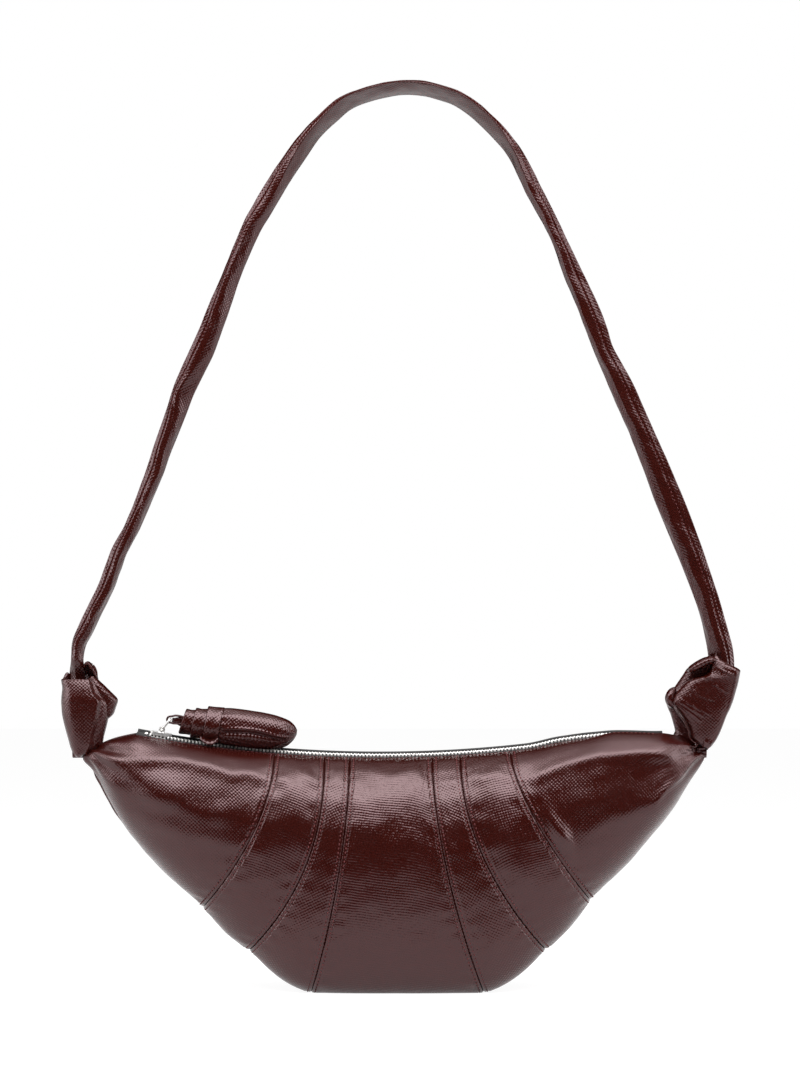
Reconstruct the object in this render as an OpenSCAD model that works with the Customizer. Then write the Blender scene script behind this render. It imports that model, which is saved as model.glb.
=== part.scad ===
// Half moon shoulder bag of glossy coated canvas, hanging by its knotted strap.
// The origin is where a hook or a shoulder carries the strap: under the crown.
// +X is along the bag, -Y is its front and +Z is up.

/* [Body] */
// Length of the body between the ends of its two gathered necks
body_length = 390; // [370:1:420]
// Front to rear at the fullest place
body_depth = 104; // [84:1:130]
// From the lowest point of the zip down to the base
belly_height = 144; // [120:1:180]
// Length of the flat base, between the two inner seams
base_length = 106; // [80:1:130]
// Front to rear across the flat base
base_width = 50; // [30:1:64]
// Thickness of the coated canvas
canvas = 1.2; // [0.8:0.1:1.6]
// Outer radius of the gathered necks
neck_radius = 7.3; // [6.8:0.1:8]
// Height of the necks above the lowest point of the zip
neck_rise = 6; // [3:0.5:10]
// Radius of the rolled canvas tie that runs from each neck into its knot
tie_radius = 5; // [4:0.1:5]

/* [Lining] */
// Thickness of the lining
lining_cloth = 0.5; // [0.3:0.1:0.8]
// Length of the slip pocket sewn on the rear lining
pocket_length = 104; // [70:1:120]

/* [Zip] */
// Distance from each end of the mouth to the end of the neck past it
mouth_margin = 33; // [30:1:45]
// How far the mouth rises from its lowest point over half its length
mouth_sag = 16.5; // [12:0.5:20]
// How far left of the bag's middle the mouth is lowest
mouth_low = 12; // [-10:1:30]
// Clear width between the two folded canvas edges
mouth_width = 14; // [13:0.1:17]
// Distance from one tooth to the next on one tape
tooth_pitch = 2.2; // [1.6:0.1:4]
// Height of a tooth
tooth_height = 2.4; // [1.8:0.1:2.8]
// Reach of a tooth from its bead towards the middle
tooth_reach = 2.2; // [1.6:0.1:2.4]
// Width of the bead that the teeth are clamped on
bead_width = 0.7; // [0.5:0.1:0.9]
// Thickness of the woven tape
tape_thickness = 0.6; // [0.4:0.1:0.8]
// Length of the slider
slider_length = 13; // [10:0.5:14]
// Distance of the slider's middle from the left end of the mouth
slider_rest = 13.5; // [13:0.5:20]

/* [Puller] */
// Distance between the two bars of the wire ring
ring_length = 8; // [6.5:0.5:9]
// Clear width inside the wire ring
ring_width = 6; // [5.6:0.2:7]
// Radius of the ring's wire
wire_radius = 0.8; // [0.5:0.05:0.9]
// Angle of the ring above the zip
ring_angle = 60; // [56:1:70]
// Angle of the puller above the zip
puller_angle = 4; // [4:0.5:10]
// Length of the puller from the ring to its tip
puller_length = 78; // [64:1:79]
// Radius of the padded end at its fullest
pad_radius = 11.5; // [9:0.5:11.5]
// Radius of the widest of the three collar bands
collar_radius = 11; // [10:0.5:11]

/* [Strap] */
// From the underside of the crown to the lowest point of the zip
strap_drop = 411; // [370:1:460]
// How far past the ends of the necks the two legs stand where they enter the knots
leg_outset = 5; // [3:0.5:8]
// Width of the flattened strap
strap_width = 20; // [16:1:24]
// Thickness of the flattened strap
strap_thickness = 8.5; // [7:0.5:10]

/* [Knots] */
// Height of the left knot above its neck
left_knot_height = 41; // [36:1:50]
// Width of the left knot along the bag
left_knot_width = 31; // [26:1:34]
// Height of the right knot above its neck
right_knot_height = 56; // [48:1:64]
// Width of the right knot along the bag
right_knot_width = 43; // [36:1:46]
// Front to rear across a knot
knot_depth = 24; // [20:1:30]
// Length of a knot's foot, which turns round the tie
foot_length = 13; // [11:0.5:15]
// Outer radius of a knot's foot
foot_radius = 7.6; // [7:0.1:9]

/* [Hidden] */

// Colours of the finished pieces
canvas_brown = [0.26, 0.09, 0.07];
lining_tan = [0.55, 0.44, 0.36];
filling_white = [0.9, 0.9, 0.88];
tape_black = [0.05, 0.04, 0.04];
nickel = [0.78, 0.78, 0.78];

// Fineness
wall_steps = 12;
lining_steps = 8;
panel_steps = 4;
end_steps = 6;
neck_steps = 5;
lining_length_steps = 26;
strap_steps = 54;
strap_sides = 12;
pad_steps = 16;
round_fn = 48;
arc_fn = 256;
hull_fn = 24;
cut = 1;
// A small change of place, for the direction of a curve or a surface
nudge_share = 0.01;

// Clearances
cloth_gap = 0.3;
sliding_gap = 0.25;
pin_gap = 0.08;
crimp_gap = 0.05;

// Places that follow the body, from the middle outwards: the middle, the inner, middle and
// outer seams, the end of the mouth, and the neck
top_shares = [0, 0.157, 0.259, 0.45, 1];
foot_shares = [0, 0, 0.271, 0.472, 0.775, 1];
foot_height_shares = [0, 0, 0.175, 0.354, 0.68, 1];
depth_shares = [1, 0.98, 0.93, 0.83, 0.48];
base_width_shares = [1, 0.95, 0.5, 0.2, 0.05];
neck_end = len(foot_shares) - 1;
mouth_end = neck_end - 1;
outer_seam = mouth_end - 1;
middle_seam = outer_seam - 1;
inner_seam = middle_seam - 1;
// Past its end the mouth closes to a sewn slit within this share of the last stretch
closing_share = 0.2;
slit_half = 0.2;
neck_base_half = 1.2;
// How far down a seam keeps upright before it runs outwards
seam_bend = 1.85;
// Share of half a section's run that lies on the flat base
base_share = 0.08;

body_half = body_length / 2;
mouth_length = body_length - 2 * mouth_margin;
mouth_half = mouth_length / 2;
zip_z = -strap_drop;
base_z = zip_z - belly_height;
neck_z = zip_z + neck_rise;
mouth_radius = (mouth_half * mouth_half + mouth_sag * mouth_sag) / (2 * mouth_sag);
arc_z = zip_z + mouth_radius;
neck_foot_height = neck_z - neck_radius - base_z;

// Curves

function between(a, b, share) = a + (b - a) * share;

// A smooth curve through the values of a table, at place p of its own numbering. sign is 1
// for a table that is even about its first value and -1 for one that is odd.
function entry(table, i, sign) =
    i < 0 ? sign * table[-i] :
    i >= len(table) ? 2 * table[len(table) - 1] - table[len(table) - 2] :
    table[i];
function through(a, b, c, d, f) =
    b + f * ((c - a) + f * ((2 * a - 5 * b + 4 * c - d) + f * (3 * (b - c) + d - a))) / 2;
function curve(table, p, sign) =
    let (i = min(floor(p), len(table) - 2))
    through(entry(table, i - 1, sign), entry(table, i, sign), entry(table, i + 1, sign),
            entry(table, i + 2, sign), p - i);
function even_places(from, to, steps) = [for (i = [0:steps]) between(from, to, i / steps)];
function unit(v) = v / norm(v);

// Two triangles of a closed solid, from a quad's corners
function quad(a, b, c, d) = [[a, c, b], [a, d, c]];

// Body surface

function mouth_z(x) = arc_z - sqrt(mouth_radius * mouth_radius - pow(x + mouth_low, 2));

function top_x(p) =
    p <= mouth_end ? mouth_half * curve(top_shares, p, -1)
                   : between(mouth_half, body_half, p - mouth_end);
function top_z(p, side) =
    p <= mouth_end ? mouth_z(side * top_x(p))
                   : between(mouth_z(side * mouth_half), neck_z + neck_radius, p - mouth_end);
foot_table = [for (i = [0:neck_end])
    i == 0 ? 0 : between(base_length / 2, body_half, foot_shares[i])];
function foot_x(p) = curve(foot_table, p, -1);
function foot_z(p) = base_z + neck_foot_height * max(0, curve(foot_height_shares, p, 1));
depth_table = [for (i = [0:neck_end])
    i == neck_end ? neck_radius : depth_shares[i] * body_depth / 2];
base_table = [for (i = [0:neck_end])
    i == neck_end ? neck_base_half : base_width_shares[i] * base_width / 2];
function edge_half(p) =
    between(mouth_width / 2, slit_half, min(1, max(0, (p - mouth_end) / closing_share)));

// A point of the body's outer surface. p runs along the body from -neck_end to neck_end, and
// s round it from -1 at the front edge of the mouth, by 0 under the base, to 1 at the rear edge.
function wall_point(p, s) =
    let (a = abs(p),
         turn = min(180, 180 * (1 - abs(s)) / (1 - base_share)),
         down = (1 - cos(turn)) / 2,
         depth = curve(depth_table, a, 1),
         near = turn < 90 ? edge_half(a) : curve(base_table, a, 1),
         out = (near + (depth - near) * sin(turn)) * min(1, abs(s) / base_share),
         along = between(top_x(a), foot_x(a), pow(down, seam_bend)))
    [sign(p) * along, sign(s) * out, between(top_z(a, sign(p)), foot_z(a), down)];

function inward(p, s) =
    let (d = nudge_share,
         p0 = max(-neck_end, p - d),
         p1 = min(neck_end, p + d),
         s0 = max(-1, s - d),
         s1 = min(1, s + d))
    unit(cross(wall_point(p1, s) - wall_point(p0, s), wall_point(p, s1) - wall_point(p, s0)));
function inset_point(p, s, inset) = wall_point(p, s) + inset * inward(p, s);

// Places round a whole section, with the flat base between the two middle ones
function section_places(steps) = concat(
    [for (i = [0:steps]) -(1 - (1 - base_share) * i / steps)],
    [0],
    [for (i = [steps:-1:0]) 1 - (1 - base_share) * i / steps]);

// A sheet that follows the body between two depths under its outer surface
module sheet_solid(p_places, s_places, outer_inset, inner_inset) {
    rows = len(p_places);
    count = len(s_places);
    points = [
        for (inset = [outer_inset, inner_inset]) for (p = p_places) for (s = s_places)
            inset_point(p, s, inset)
    ];
    function at(layer, i, j) = (layer * rows + i) * count + j;
    skins = [
        for (i = [0:rows - 2]) for (j = [0:count - 2])
            each concat(
                quad(at(0, i, j), at(0, i, j + 1), at(0, i + 1, j + 1), at(0, i + 1, j)),
                quad(at(1, i, j), at(1, i + 1, j), at(1, i + 1, j + 1), at(1, i, j + 1)))
    ];
    edges = [
        for (i = [0:rows - 2])
            each concat(
                quad(at(0, i, 0), at(0, i + 1, 0), at(1, i + 1, 0), at(1, i, 0)),
                quad(at(0, i + 1, count - 1), at(0, i, count - 1),
                     at(1, i, count - 1), at(1, i + 1, count - 1)))
    ];
    ends = [
        for (j = [0:count - 2])
            each concat(
                quad(at(0, 0, j + 1), at(0, 0, j), at(1, 0, j), at(1, 0, j + 1)),
                quad(at(0, rows - 1, j), at(0, rows - 1, j + 1),
                     at(1, rows - 1, j + 1), at(1, rows - 1, j)))
    ];
    polyhedron(points = points, faces = concat(skins, edges, ends));
}

module panel(places) {
    color(canvas_brown)
        sheet_solid(places, section_places(wall_steps), 0, canvas);
}

// Places along an end panel, with one just at the end of the mouth
end_places = concat(
    even_places(outer_seam, mouth_end, end_steps),
    [for (k = [1:neck_steps]) between(mouth_end, neck_end, k / neck_steps)]);
mirrored_end_places = [for (k = [len(end_places) - 1:-1:0]) -end_places[k]];

lining_gap = 0.9;
lining_inset = canvas + lining_gap;
lining_margin_share = 0.1;
lining_end = mouth_end - lining_margin_share;
lining_rim_share = 0.94;

module lining() {
    places = section_places(lining_steps) * lining_rim_share;
    color(lining_tan)
        sheet_solid(even_places(-lining_end, lining_end, lining_length_steps), places,
                    lining_inset, lining_inset + lining_cloth);
}

// The slip pocket, between two heights of the rear lining
pocket_gap = 0.8;
pocket_inset = lining_inset + lining_cloth + pocket_gap;
pocket_low_share = 0.34;
pocket_high_share = 0.66;
pocket_steps = 6;

module inner_pocket() {
    reach = middle_seam * pocket_length / (2 * foot_table[middle_seam]);
    color(lining_tan)
        sheet_solid(even_places(-reach, reach, pocket_steps),
                    even_places(pocket_low_share, pocket_high_share, pocket_steps),
                    pocket_inset, pocket_inset + lining_cloth);
}

// Rolled canvas that fills each neck and runs on into its knot
tie_inside = 12;

module end_tie(side) {
    color(canvas_brown)
        translate([side * (body_half - tie_inside), 0, neck_z])
            rotate([0, side * 90, 0])
                cylinder(r = tie_radius, h = tie_inside + foot_length - canvas, $fn = round_fn);
}

// Zip

// The teeth stand a little proud of the folded edges of the canvas
zip_lift = 0.3;
teeth_radius = mouth_radius - zip_lift;
// The slider's blade passes between the two rows
row_gap_half = 0.5;
bead_out = row_gap_half + tooth_reach + bead_width;
bead_height_share = 0.7;
tooth_length_share = 0.45;
tooth_end_margin = 6;
tape_end_margin = 1.5;
tape_reach = 2;
tape_turn_in = 1.4;
tape_flat = bead_out + tape_reach;
tape_sewn = mouth_width / 2 + tape_turn_in;
tape_drop = canvas + zip_lift + tape_thickness / 2 + 2 * cloth_gap;
teeth_half = mouth_half - tooth_end_margin;
tooth_count = floor(2 * teeth_half / tooth_pitch);
// The zip bends with the mouth, so its tapes and rows are made in short stretches
zip_stretches = 8;
front_phase_share = 0.235;
rear_phase_share = 0.735;

function arc_angle(x) = asin((x + mouth_low) / mouth_radius);

// Turns its children from the lowest point of the mouth's arc to a place x along it
module on_arc(x) {
    translate([-mouth_low, 0, arc_z])
        rotate([0, -arc_angle(x), 0])
            translate([0, 0, -arc_z])
                children();
}

// Carries a profile along the mouth. Its x is the height over the teeth and its y is Y.
module along_arc(from, to) {
    turn = arc_angle(to) - arc_angle(from);
    translate([-mouth_low, 0, arc_z])
        rotate([90, 0, 0])
            rotate([0, 0, arc_angle(from) - 90])
                rotate_extrude(angle = turn, $fn = arc_fn)
                    mirror([0, 1, 0])
                        translate([teeth_radius, 0, 0])
                            mirror([1, 0, 0])
                                children();
}

module tape_profile() {
    half = tape_thickness / 2;
    polygon([
        [-half, bead_out], [half, bead_out], [half, tape_flat],
        [half - tape_drop, mouth_width / 2 - cloth_gap], [half - tape_drop, tape_sewn],
        [-half - tape_drop, tape_sewn], [-half - tape_drop, mouth_width / 2 - 2 * cloth_gap],
        [-half, tape_flat - cloth_gap]
    ]);
}

module zip_tape(side) {
    reach = mouth_half - tape_end_margin;
    color(tape_black)
        for (k = [0:zip_stretches - 1])
            along_arc(between(-reach, reach, k / zip_stretches),
                      between(-reach, reach, (k + 1) / zip_stretches) - crimp_gap)
                scale([1, side, 1])
                    tape_profile();
}

module tooth(side) {
    length = tooth_pitch * tooth_length_share;
    inner = side > 0 ? row_gap_half : -bead_out + bead_width / 2;
    translate([-length / 2, inner, arc_z - teeth_radius - tooth_height / 2])
        cube([length, tooth_reach + bead_width / 2, tooth_height]);
}

// One stretch of a row, from one tooth up to another: the bead and the teeth clamped on it
module teeth_stretch(side, phase, first, last) {
    bead = tooth_height * bead_height_share;
    start = first - tooth_count / 2;
    union() {
        along_arc(start * tooth_pitch, (last - tooth_count / 2) * tooth_pitch - crimp_gap)
            translate([-bead / 2, side > 0 ? bead_out - bead_width : -bead_out])
                square([bead, bead_width]);
        for (i = [0:last - first - 1])
            on_arc((start + i + phase) * tooth_pitch)
                tooth(side);
    }
}

module zip_teeth(side, phase) {
    color(nickel)
        for (k = [0:zip_stretches - 1])
            teeth_stretch(side, phase, floor(tooth_count * k / zip_stretches),
                          floor(tooth_count * (k + 1) / zip_stretches));
}

// Clamped stops past the two ends of the teeth
stop_length = 2.6;
stop_wall = 0.8;

module stop_profile(side) {
    half = tape_thickness / 2;
    low = bead_out - bead_width;
    scale([1, side, 1])
        difference() {
            translate([-half - stop_wall, low])
                square([tape_thickness + 2 * stop_wall, 2 * bead_width + stop_wall]);
            translate([-half - crimp_gap, bead_out - crimp_gap])
                square([tape_thickness + 2 * crimp_gap, 2 * bead_width + stop_wall]);
        }
}

module zip_top_stops() {
    start = -teeth_half - crimp_gap;
    color(nickel)
        for (side = [-1, 1])
            along_arc(start - stop_length, start)
                stop_profile(side);
}

module zip_bottom_stop() {
    start = teeth_half + crimp_gap;
    half = tape_thickness / 2;
    color(nickel)
        union() {
            for (side = [-1, 1])
                along_arc(start, start + stop_length)
                    stop_profile(side);
            along_arc(start, start + stop_length)
                translate([-half - stop_wall, -bead_out + bead_width / 2])
                    square([tape_thickness + 2 * stop_wall, 2 * bead_out - bead_width]);
        }
}

// Slider, drawn at the lowest place of the zip with the teeth at height zero
plate_thickness = 1.3;
flange_width = 1.1;
plate_low = tooth_height / 2 + sliding_gap;
plate_high = plate_low + plate_thickness;
plate_half = bead_out + sliding_gap + flange_width;
tail_half_share = 0.8;
lug_wall = 0.95;
lug_radius = wire_radius + pin_gap + lug_wall;
lug_z = plate_high + lug_radius;
slider_start = mouth_half - slider_rest;

module plate_outline() {
    half = slider_length / 2;
    tail = plate_half * tail_half_share;
    polygon([
        [-half, -tail], [-half + flange_width, -plate_half], [half / 2, -plate_half],
        [half, -tail], [half, tail], [half / 2, plate_half],
        [-half + flange_width, plate_half], [-half, tail]
    ]);
}

module slider_shape() {
    difference() {
        union() {
            translate([0, 0, -plate_high])
                linear_extrude(2 * plate_high)
                    plate_outline();
            translate([-lug_radius, -ring_width / 2 + sliding_gap, plate_low])
                cube([2 * lug_radius, ring_width - 2 * sliding_gap, lug_z - plate_low]);
            translate([0, ring_width / 2 - sliding_gap, lug_z])
                rotate([90, 0, 0])
                    cylinder(r = lug_radius, h = ring_width - 2 * sliding_gap, $fn = round_fn);
        }
        // Channel that the two beads and their teeth run through
        for (side = [-1, 1])
            translate([-slider_length, side > 0 ? row_gap_half - sliding_gap : -bead_out - sliding_gap,
                       -plate_low])
                cube([2 * slider_length, bead_out + 2 * sliding_gap - row_gap_half, 2 * plate_low]);
        // Slots that the tapes leave by
        translate([-slider_length, -plate_half - cut, -tape_thickness / 2 - sliding_gap])
            cube([2 * slider_length, plate_half + cut - row_gap_half, tape_thickness + 2 * sliding_gap]);
        translate([-slider_length, row_gap_half, -tape_thickness / 2 - sliding_gap])
            cube([2 * slider_length, plate_half + cut - row_gap_half, tape_thickness + 2 * sliding_gap]);
        // Eye of the lug
        translate([0, ring_width, lug_z])
            rotate([90, 0, 0])
                cylinder(r = wire_radius + pin_gap, h = 2 * ring_width, $fn = round_fn);
    }
}

module slider() {
    color(nickel)
        on_arc(-slider_start)
            translate([0, 0, arc_z - teeth_radius])
                slider_shape();
}

// Puller. Each piece is drawn along +X from the bar that carries it, then set in place.

module at_lug() {
    on_arc(-slider_start)
        translate([0, 0, arc_z - teeth_radius + lug_z])
            children();
}

module at_puller() {
    at_lug()
        rotate([0, -ring_angle, 0])
            translate([ring_length, 0, 0])
                rotate([0, ring_angle - puller_angle, 0])
                    children();
}

module across(radius, width) {
    translate([0, width / 2, 0])
        rotate([90, 0, 0])
            cylinder(r = radius, h = width, $fn = round_fn);
}

module pull_ring() {
    side_y = ring_width / 2 + wire_radius;
    color(nickel)
        at_lug()
            rotate([0, -ring_angle, 0])
                union() {
                    for (x = [0, ring_length])
                        translate([x, 0, 0])
                            across(wire_radius, 2 * side_y);
                    for (y = [-side_y, side_y])
                        translate([0, y, 0])
                            rotate([0, 90, 0])
                                cylinder(r = wire_radius, h = ring_length, $fn = round_fn);
                    for (x = [0, ring_length])
                        for (y = [-side_y, side_y])
                            translate([x, y, 0])
                                sphere(r = wire_radius, $fn = round_fn);
                }
}

loop_wall = 1.6;
stem_length = 8;
band_lengths = [7, 7.5, 10.5];
band_step = 1;
collar_bevel = 0.8;
collar_wall = 1.4;
collar_bore = collar_radius - 2 * band_step - collar_wall;
pad_neck = collar_bore - cloth_gap;
collar_end = stem_length + band_lengths[0] + band_lengths[1] + band_lengths[2];
pad_start = collar_end + cloth_gap;
pad_length_shares = [0, 0.12, 0.3, 0.52, 0.75, 0.92, 1];
pad_radius_shares = [0.74, 0.9, 0.98, 1, 0.93, 0.66, 0];

module puller_loop() {
    radius = wire_radius + pin_gap + loop_wall;
    width = ring_width - 2 * cloth_gap;
    color(canvas_brown)
        at_puller()
            difference() {
                union() {
                    across(radius, width);
                    translate([0, -width / 2, -radius])
                        cube([stem_length, width, 2 * radius]);
                }
                translate([0, ring_width, 0])
                    rotate([90, 0, 0])
                        cylinder(r = wire_radius + pin_gap, h = 2 * ring_width, $fn = round_fn);
            }
}

// One band of the wrapped collar, bevelled at both ends
module band(start, length, radius) {
    translate([start, 0, 0])
        rotate([0, 90, 0])
            rotate_extrude($fn = round_fn)
                polygon([
                    [collar_bore, 0], [radius - collar_bevel, 0], [radius, collar_bevel],
                    [radius, length - collar_bevel], [radius - collar_bevel, length],
                    [collar_bore, length]
                ]);
}

module puller_collar() {
    color(canvas_brown)
        at_puller()
            union() {
                band(stem_length, band_lengths[0], collar_radius - 2 * band_step);
                band(stem_length + band_lengths[0], band_lengths[1], collar_radius - band_step);
                band(stem_length + band_lengths[0] + band_lengths[1], band_lengths[2],
                     collar_radius);
            }
}

// Half outline of the pad, from its neck in the collar to its round tip. inset takes it to
// the inside of its cover.
function pad_outline(inset) =
    let (length = puller_length - pad_start,
         last = len(pad_length_shares) - 1,
         inner = (pad_radius - inset) / pad_radius)
    concat(
        [[0, stem_length + inset], [pad_neck - inset, stem_length + inset],
         [pad_neck - inset, pad_start + inset]],
        [for (i = [0:pad_steps])
            let (p = last * i / pad_steps)
            [max(0, pad_radius * inner * curve(pad_radius_shares, p, 1)),
             between(pad_start + inset, puller_length - inset,
                     curve(pad_length_shares, p, -1))]]);

module pad_body(inset) {
    rotate([0, 90, 0])
        rotate_extrude($fn = round_fn)
            polygon(pad_outline(inset));
}

module puller_pad() {
    color(canvas_brown)
        at_puller()
            difference() {
                pad_body(0);
                pad_body(canvas);
            }
}

module puller_filling() {
    color(filling_white)
        at_puller()
            pad_body(canvas + cloth_gap);
}

// Strap

// Places down a leg from the crown to the knot, as shares of half the span and of the drop
half_shares = [0, 0.165, 0.243, 0.331, 0.498, 0.624, 0.755, 0.885, 0.99, 1];
fall_shares = [0, 0.022, 0.054, 0.107, 0.275, 0.442, 0.61, 0.777, 0.94, 1];
// Turn of the flat strap about its own run, in degrees
left_twists = [0, 8, 16, 28, 28, 47, 30, 24, 8, 0];
right_twists = [0, 5, 10, 15, 16, 29, 44, 53, 50, 40];
strap_span = body_length + 2 * leg_outset;
strap_end = len(half_shares) - 1;
strap_tuck = 8;
edge_roundness = 0.8;

function leg_drop(side) =
    -neck_z + strap_thickness / 2 + strap_tuck
    - (side < 0 ? left_knot_height : right_knot_height);
function strap_centre(p) =
    let (a = abs(p), side = sign(p))
    [side * strap_span / 2 * curve(half_shares, a, -1), 0,
     strap_thickness / 2 - leg_drop(side) * curve(fall_shares, a, 1)];
function strap_along(p) =
    abs(p) < nudge_share ? [1, 0, 0] :
    unit(strap_centre(p + nudge_share) - strap_centre(p - nudge_share));
function strap_twist(p) = p < 0 ? curve(left_twists, -p, 1) : curve(right_twists, p, 1);
function rounded(v) = sign(v) * pow(abs(v), edge_roundness);

// A point of the strap's surface, grown by a clearance
function strap_point(p, turn, gap) =
    let (along = strap_along(p),
         out = [-along[2], 0, along[0]],
         twist = strap_twist(p),
         wide = [0, cos(twist), 0] + out * sin(twist),
         thin = [0, -sin(twist), 0] + out * cos(twist))
    strap_centre(p) + wide * (strap_width / 2 + gap) * rounded(cos(turn))
    + thin * (strap_thickness / 2 + gap) * rounded(sin(turn));

module strap_solid(p_places, gap) {
    rings = len(p_places);
    points = [
        for (p = p_places) for (k = [0:strap_sides - 1])
            strap_point(p, 360 * k / strap_sides, gap)
    ];
    skins = [
        for (i = [0:rings - 2]) for (k = [0:strap_sides - 1])
            let (next = (k + 1) % strap_sides)
            each quad(i * strap_sides + k, i * strap_sides + next,
                      (i + 1) * strap_sides + next, (i + 1) * strap_sides + k)
    ];
    caps = [
        [for (k = [0:strap_sides - 1]) k],
        [for (k = [strap_sides - 1:-1:0]) (rings - 1) * strap_sides + k]
    ];
    polyhedron(points = points, faces = concat(skins, caps));
}

module strap() {
    color(canvas_brown)
        strap_solid(even_places(-strap_end, strap_end, strap_steps), 0);
}

// Knots. A place in a knot is given from the middle of its foot: inwards, up, and its radius,
// as shares of the knot's width, height and depth.

left_lumps_shares = [
    [-0.06, 0.79, 0.34], [0.26, 0.79, 0.34], [0.32, 0.6, 0.46], [-0.04, 0.46, 0.38]
];
right_lumps_shares = [
    [-0.02, 0.82, 0.38], [0.33, 0.79, 0.38], [0.5, 0.5, 0.46], [0.02, 0.42, 0.42]
];
left_fold_shares = [[0.46, 0.86, 0.11], [0.78, 0.62, 0.1], [0.62, 0.44, 0.1]];
right_fold_shares = [[0.7, 0.62, 0.13], [0.82, 0.52, 0.13], [0.7, 0.4, 0.12]];
fold_back_share = 0.16;
neck_room_gap = 3.5;
neck_room_steps = 8;

function knot_width(side) = side < 0 ? left_knot_width : right_knot_width;
function knot_height(side) = side < 0 ? left_knot_height : right_knot_height;
foot_middle = body_half + cloth_gap + foot_length / 2;

module lumps(side, table, y, gap) {
    for (lump = table)
        translate([side * (foot_middle - lump[0] * knot_width(side)), y,
                   neck_z + lump[1] * knot_height(side)])
            sphere(r = lump[2] * knot_depth + gap, $fn = hull_fn);
}

module foot(side) {
    translate([side * (body_half + cloth_gap), 0, neck_z])
        rotate([0, side * 90, 0])
            cylinder(r = foot_radius, h = foot_length, $fn = hull_fn);
}

// The wrapped mass of a knot, without its bore
module knot_mass(side, table, gap) {
    hull() {
        lumps(side, table, 0, gap);
        foot(side);
    }
}

// Room for the narrowing end of the body, which turns under the knot, as a round of the
// body's own half depth and a gap
module neck_room(side) {
    places = even_places(outer_seam, neck_end, neck_room_steps);
    translate([0, 0, neck_z])
        rotate([0, side * 90, 0])
            rotate_extrude($fn = round_fn)
                polygon(concat(
                    [[0, top_x(outer_seam)]],
                    [for (p = places) [curve(depth_table, p, 1) + neck_room_gap, top_x(p)]],
                    [[neck_radius + neck_room_gap, body_half + cloth_gap],
                     [0, body_half + cloth_gap]]));
}

// Room for the end of the strap
room_start_share = 1.2;
room_end_share = 0.04;
room_steps = 6;

module strap_room(side) {
    near = strap_end - room_start_share;
    far = strap_end + room_end_share;
    strap_solid(side > 0 ? even_places(near, far, room_steps) : even_places(-far, -near, room_steps),
                cloth_gap);
}

module knot(side, table) {
    color(canvas_brown)
        difference() {
            knot_mass(side, table, 0);
            neck_room(side);
            strap_room(side);
            translate([side * (body_half - cut), 0, neck_z])
                rotate([0, side * 90, 0])
                    cylinder(r = tie_radius + pin_gap,
                             h = foot_length - canvas + 2 * cloth_gap + cut,
                             $fn = round_fn);
        }
}

module knot_fold(side, table, mass_table) {
    color(canvas_brown)
        difference() {
            hull()
                lumps(side, table, knot_depth * fold_back_share, 0);
            knot_mass(side, mass_table, cloth_gap);
            strap_room(side);
            neck_room(side);
        }
}

panel(even_places(-inner_seam, inner_seam, 2 * panel_steps));  // panel_centre
panel(even_places(-middle_seam, -inner_seam, panel_steps));  // panel_left_inner
panel(even_places(-outer_seam, -middle_seam, panel_steps));  // panel_left_middle
panel(mirrored_end_places);  // panel_left_end
panel(even_places(inner_seam, middle_seam, panel_steps));  // panel_right_inner
panel(even_places(middle_seam, outer_seam, panel_steps));  // panel_right_middle
panel(end_places);  // panel_right_end
lining();
inner_pocket();
zip_tape(-1);  // zip_tape_front
zip_tape(1);  // zip_tape_rear
zip_teeth(-1, front_phase_share);  // zip_teeth_front
zip_teeth(1, rear_phase_share);  // zip_teeth_rear
zip_top_stops();
zip_bottom_stop();
slider();
pull_ring();
puller_loop();
puller_collar();
puller_pad();
puller_filling();
end_tie(-1);  // end_tie_left
end_tie(1);  // end_tie_right
strap();
knot(-1, left_lumps_shares);  // knot_left
knot(1, right_lumps_shares);  // knot_right
knot_fold(-1, left_fold_shares, left_lumps_shares);  // knot_fold_left
knot_fold(1, right_fold_shares, right_lumps_shares);  // knot_fold_right
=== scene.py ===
"""Looks of a half moon shoulder bag of glossy coated canvas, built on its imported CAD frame.

Shapes are worked out in millimetres and put into the meshes in metres.
"""

import math

import bpy
import numpy as np
from bpy.props import FloatProperty, FloatVectorProperty, IntProperty, PointerProperty
from bpy.types import Operator, Panel, PropertyGroup
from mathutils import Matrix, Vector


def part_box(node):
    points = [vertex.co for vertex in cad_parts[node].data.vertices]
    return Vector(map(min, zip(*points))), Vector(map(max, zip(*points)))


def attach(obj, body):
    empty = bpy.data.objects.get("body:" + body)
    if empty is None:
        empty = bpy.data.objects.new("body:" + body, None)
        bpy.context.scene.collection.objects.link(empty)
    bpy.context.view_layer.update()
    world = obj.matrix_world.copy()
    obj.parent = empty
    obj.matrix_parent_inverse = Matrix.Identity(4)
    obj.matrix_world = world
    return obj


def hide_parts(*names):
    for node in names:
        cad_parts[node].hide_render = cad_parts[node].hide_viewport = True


bl_info = {
    "name": "Half Moon Bag",
    "version": (1, 0, 0),
    "blender": (4, 5, 0),
    "location": "View3D > Sidebar > Half Moon Bag",
    "description": "Builds the canvas, zip, puller, strap and knots of a half moon bag",
    "category": "Object",
}

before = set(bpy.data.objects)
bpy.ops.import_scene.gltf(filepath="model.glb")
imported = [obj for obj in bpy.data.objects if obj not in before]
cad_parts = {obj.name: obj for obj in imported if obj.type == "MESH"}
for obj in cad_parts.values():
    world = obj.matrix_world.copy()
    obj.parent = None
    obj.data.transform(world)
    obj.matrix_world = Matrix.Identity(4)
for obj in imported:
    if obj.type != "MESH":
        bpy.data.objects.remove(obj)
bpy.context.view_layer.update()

MM = 0.001
# One unit of a UV map is this many millimetres of cloth
UV_MM = 100.0
# Millimetres of one pixel of the photograph, and the pixels where x and z are nought
PHOTO_MM, PHOTO_X, PHOTO_Y = 0.62, 400, 93
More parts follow.
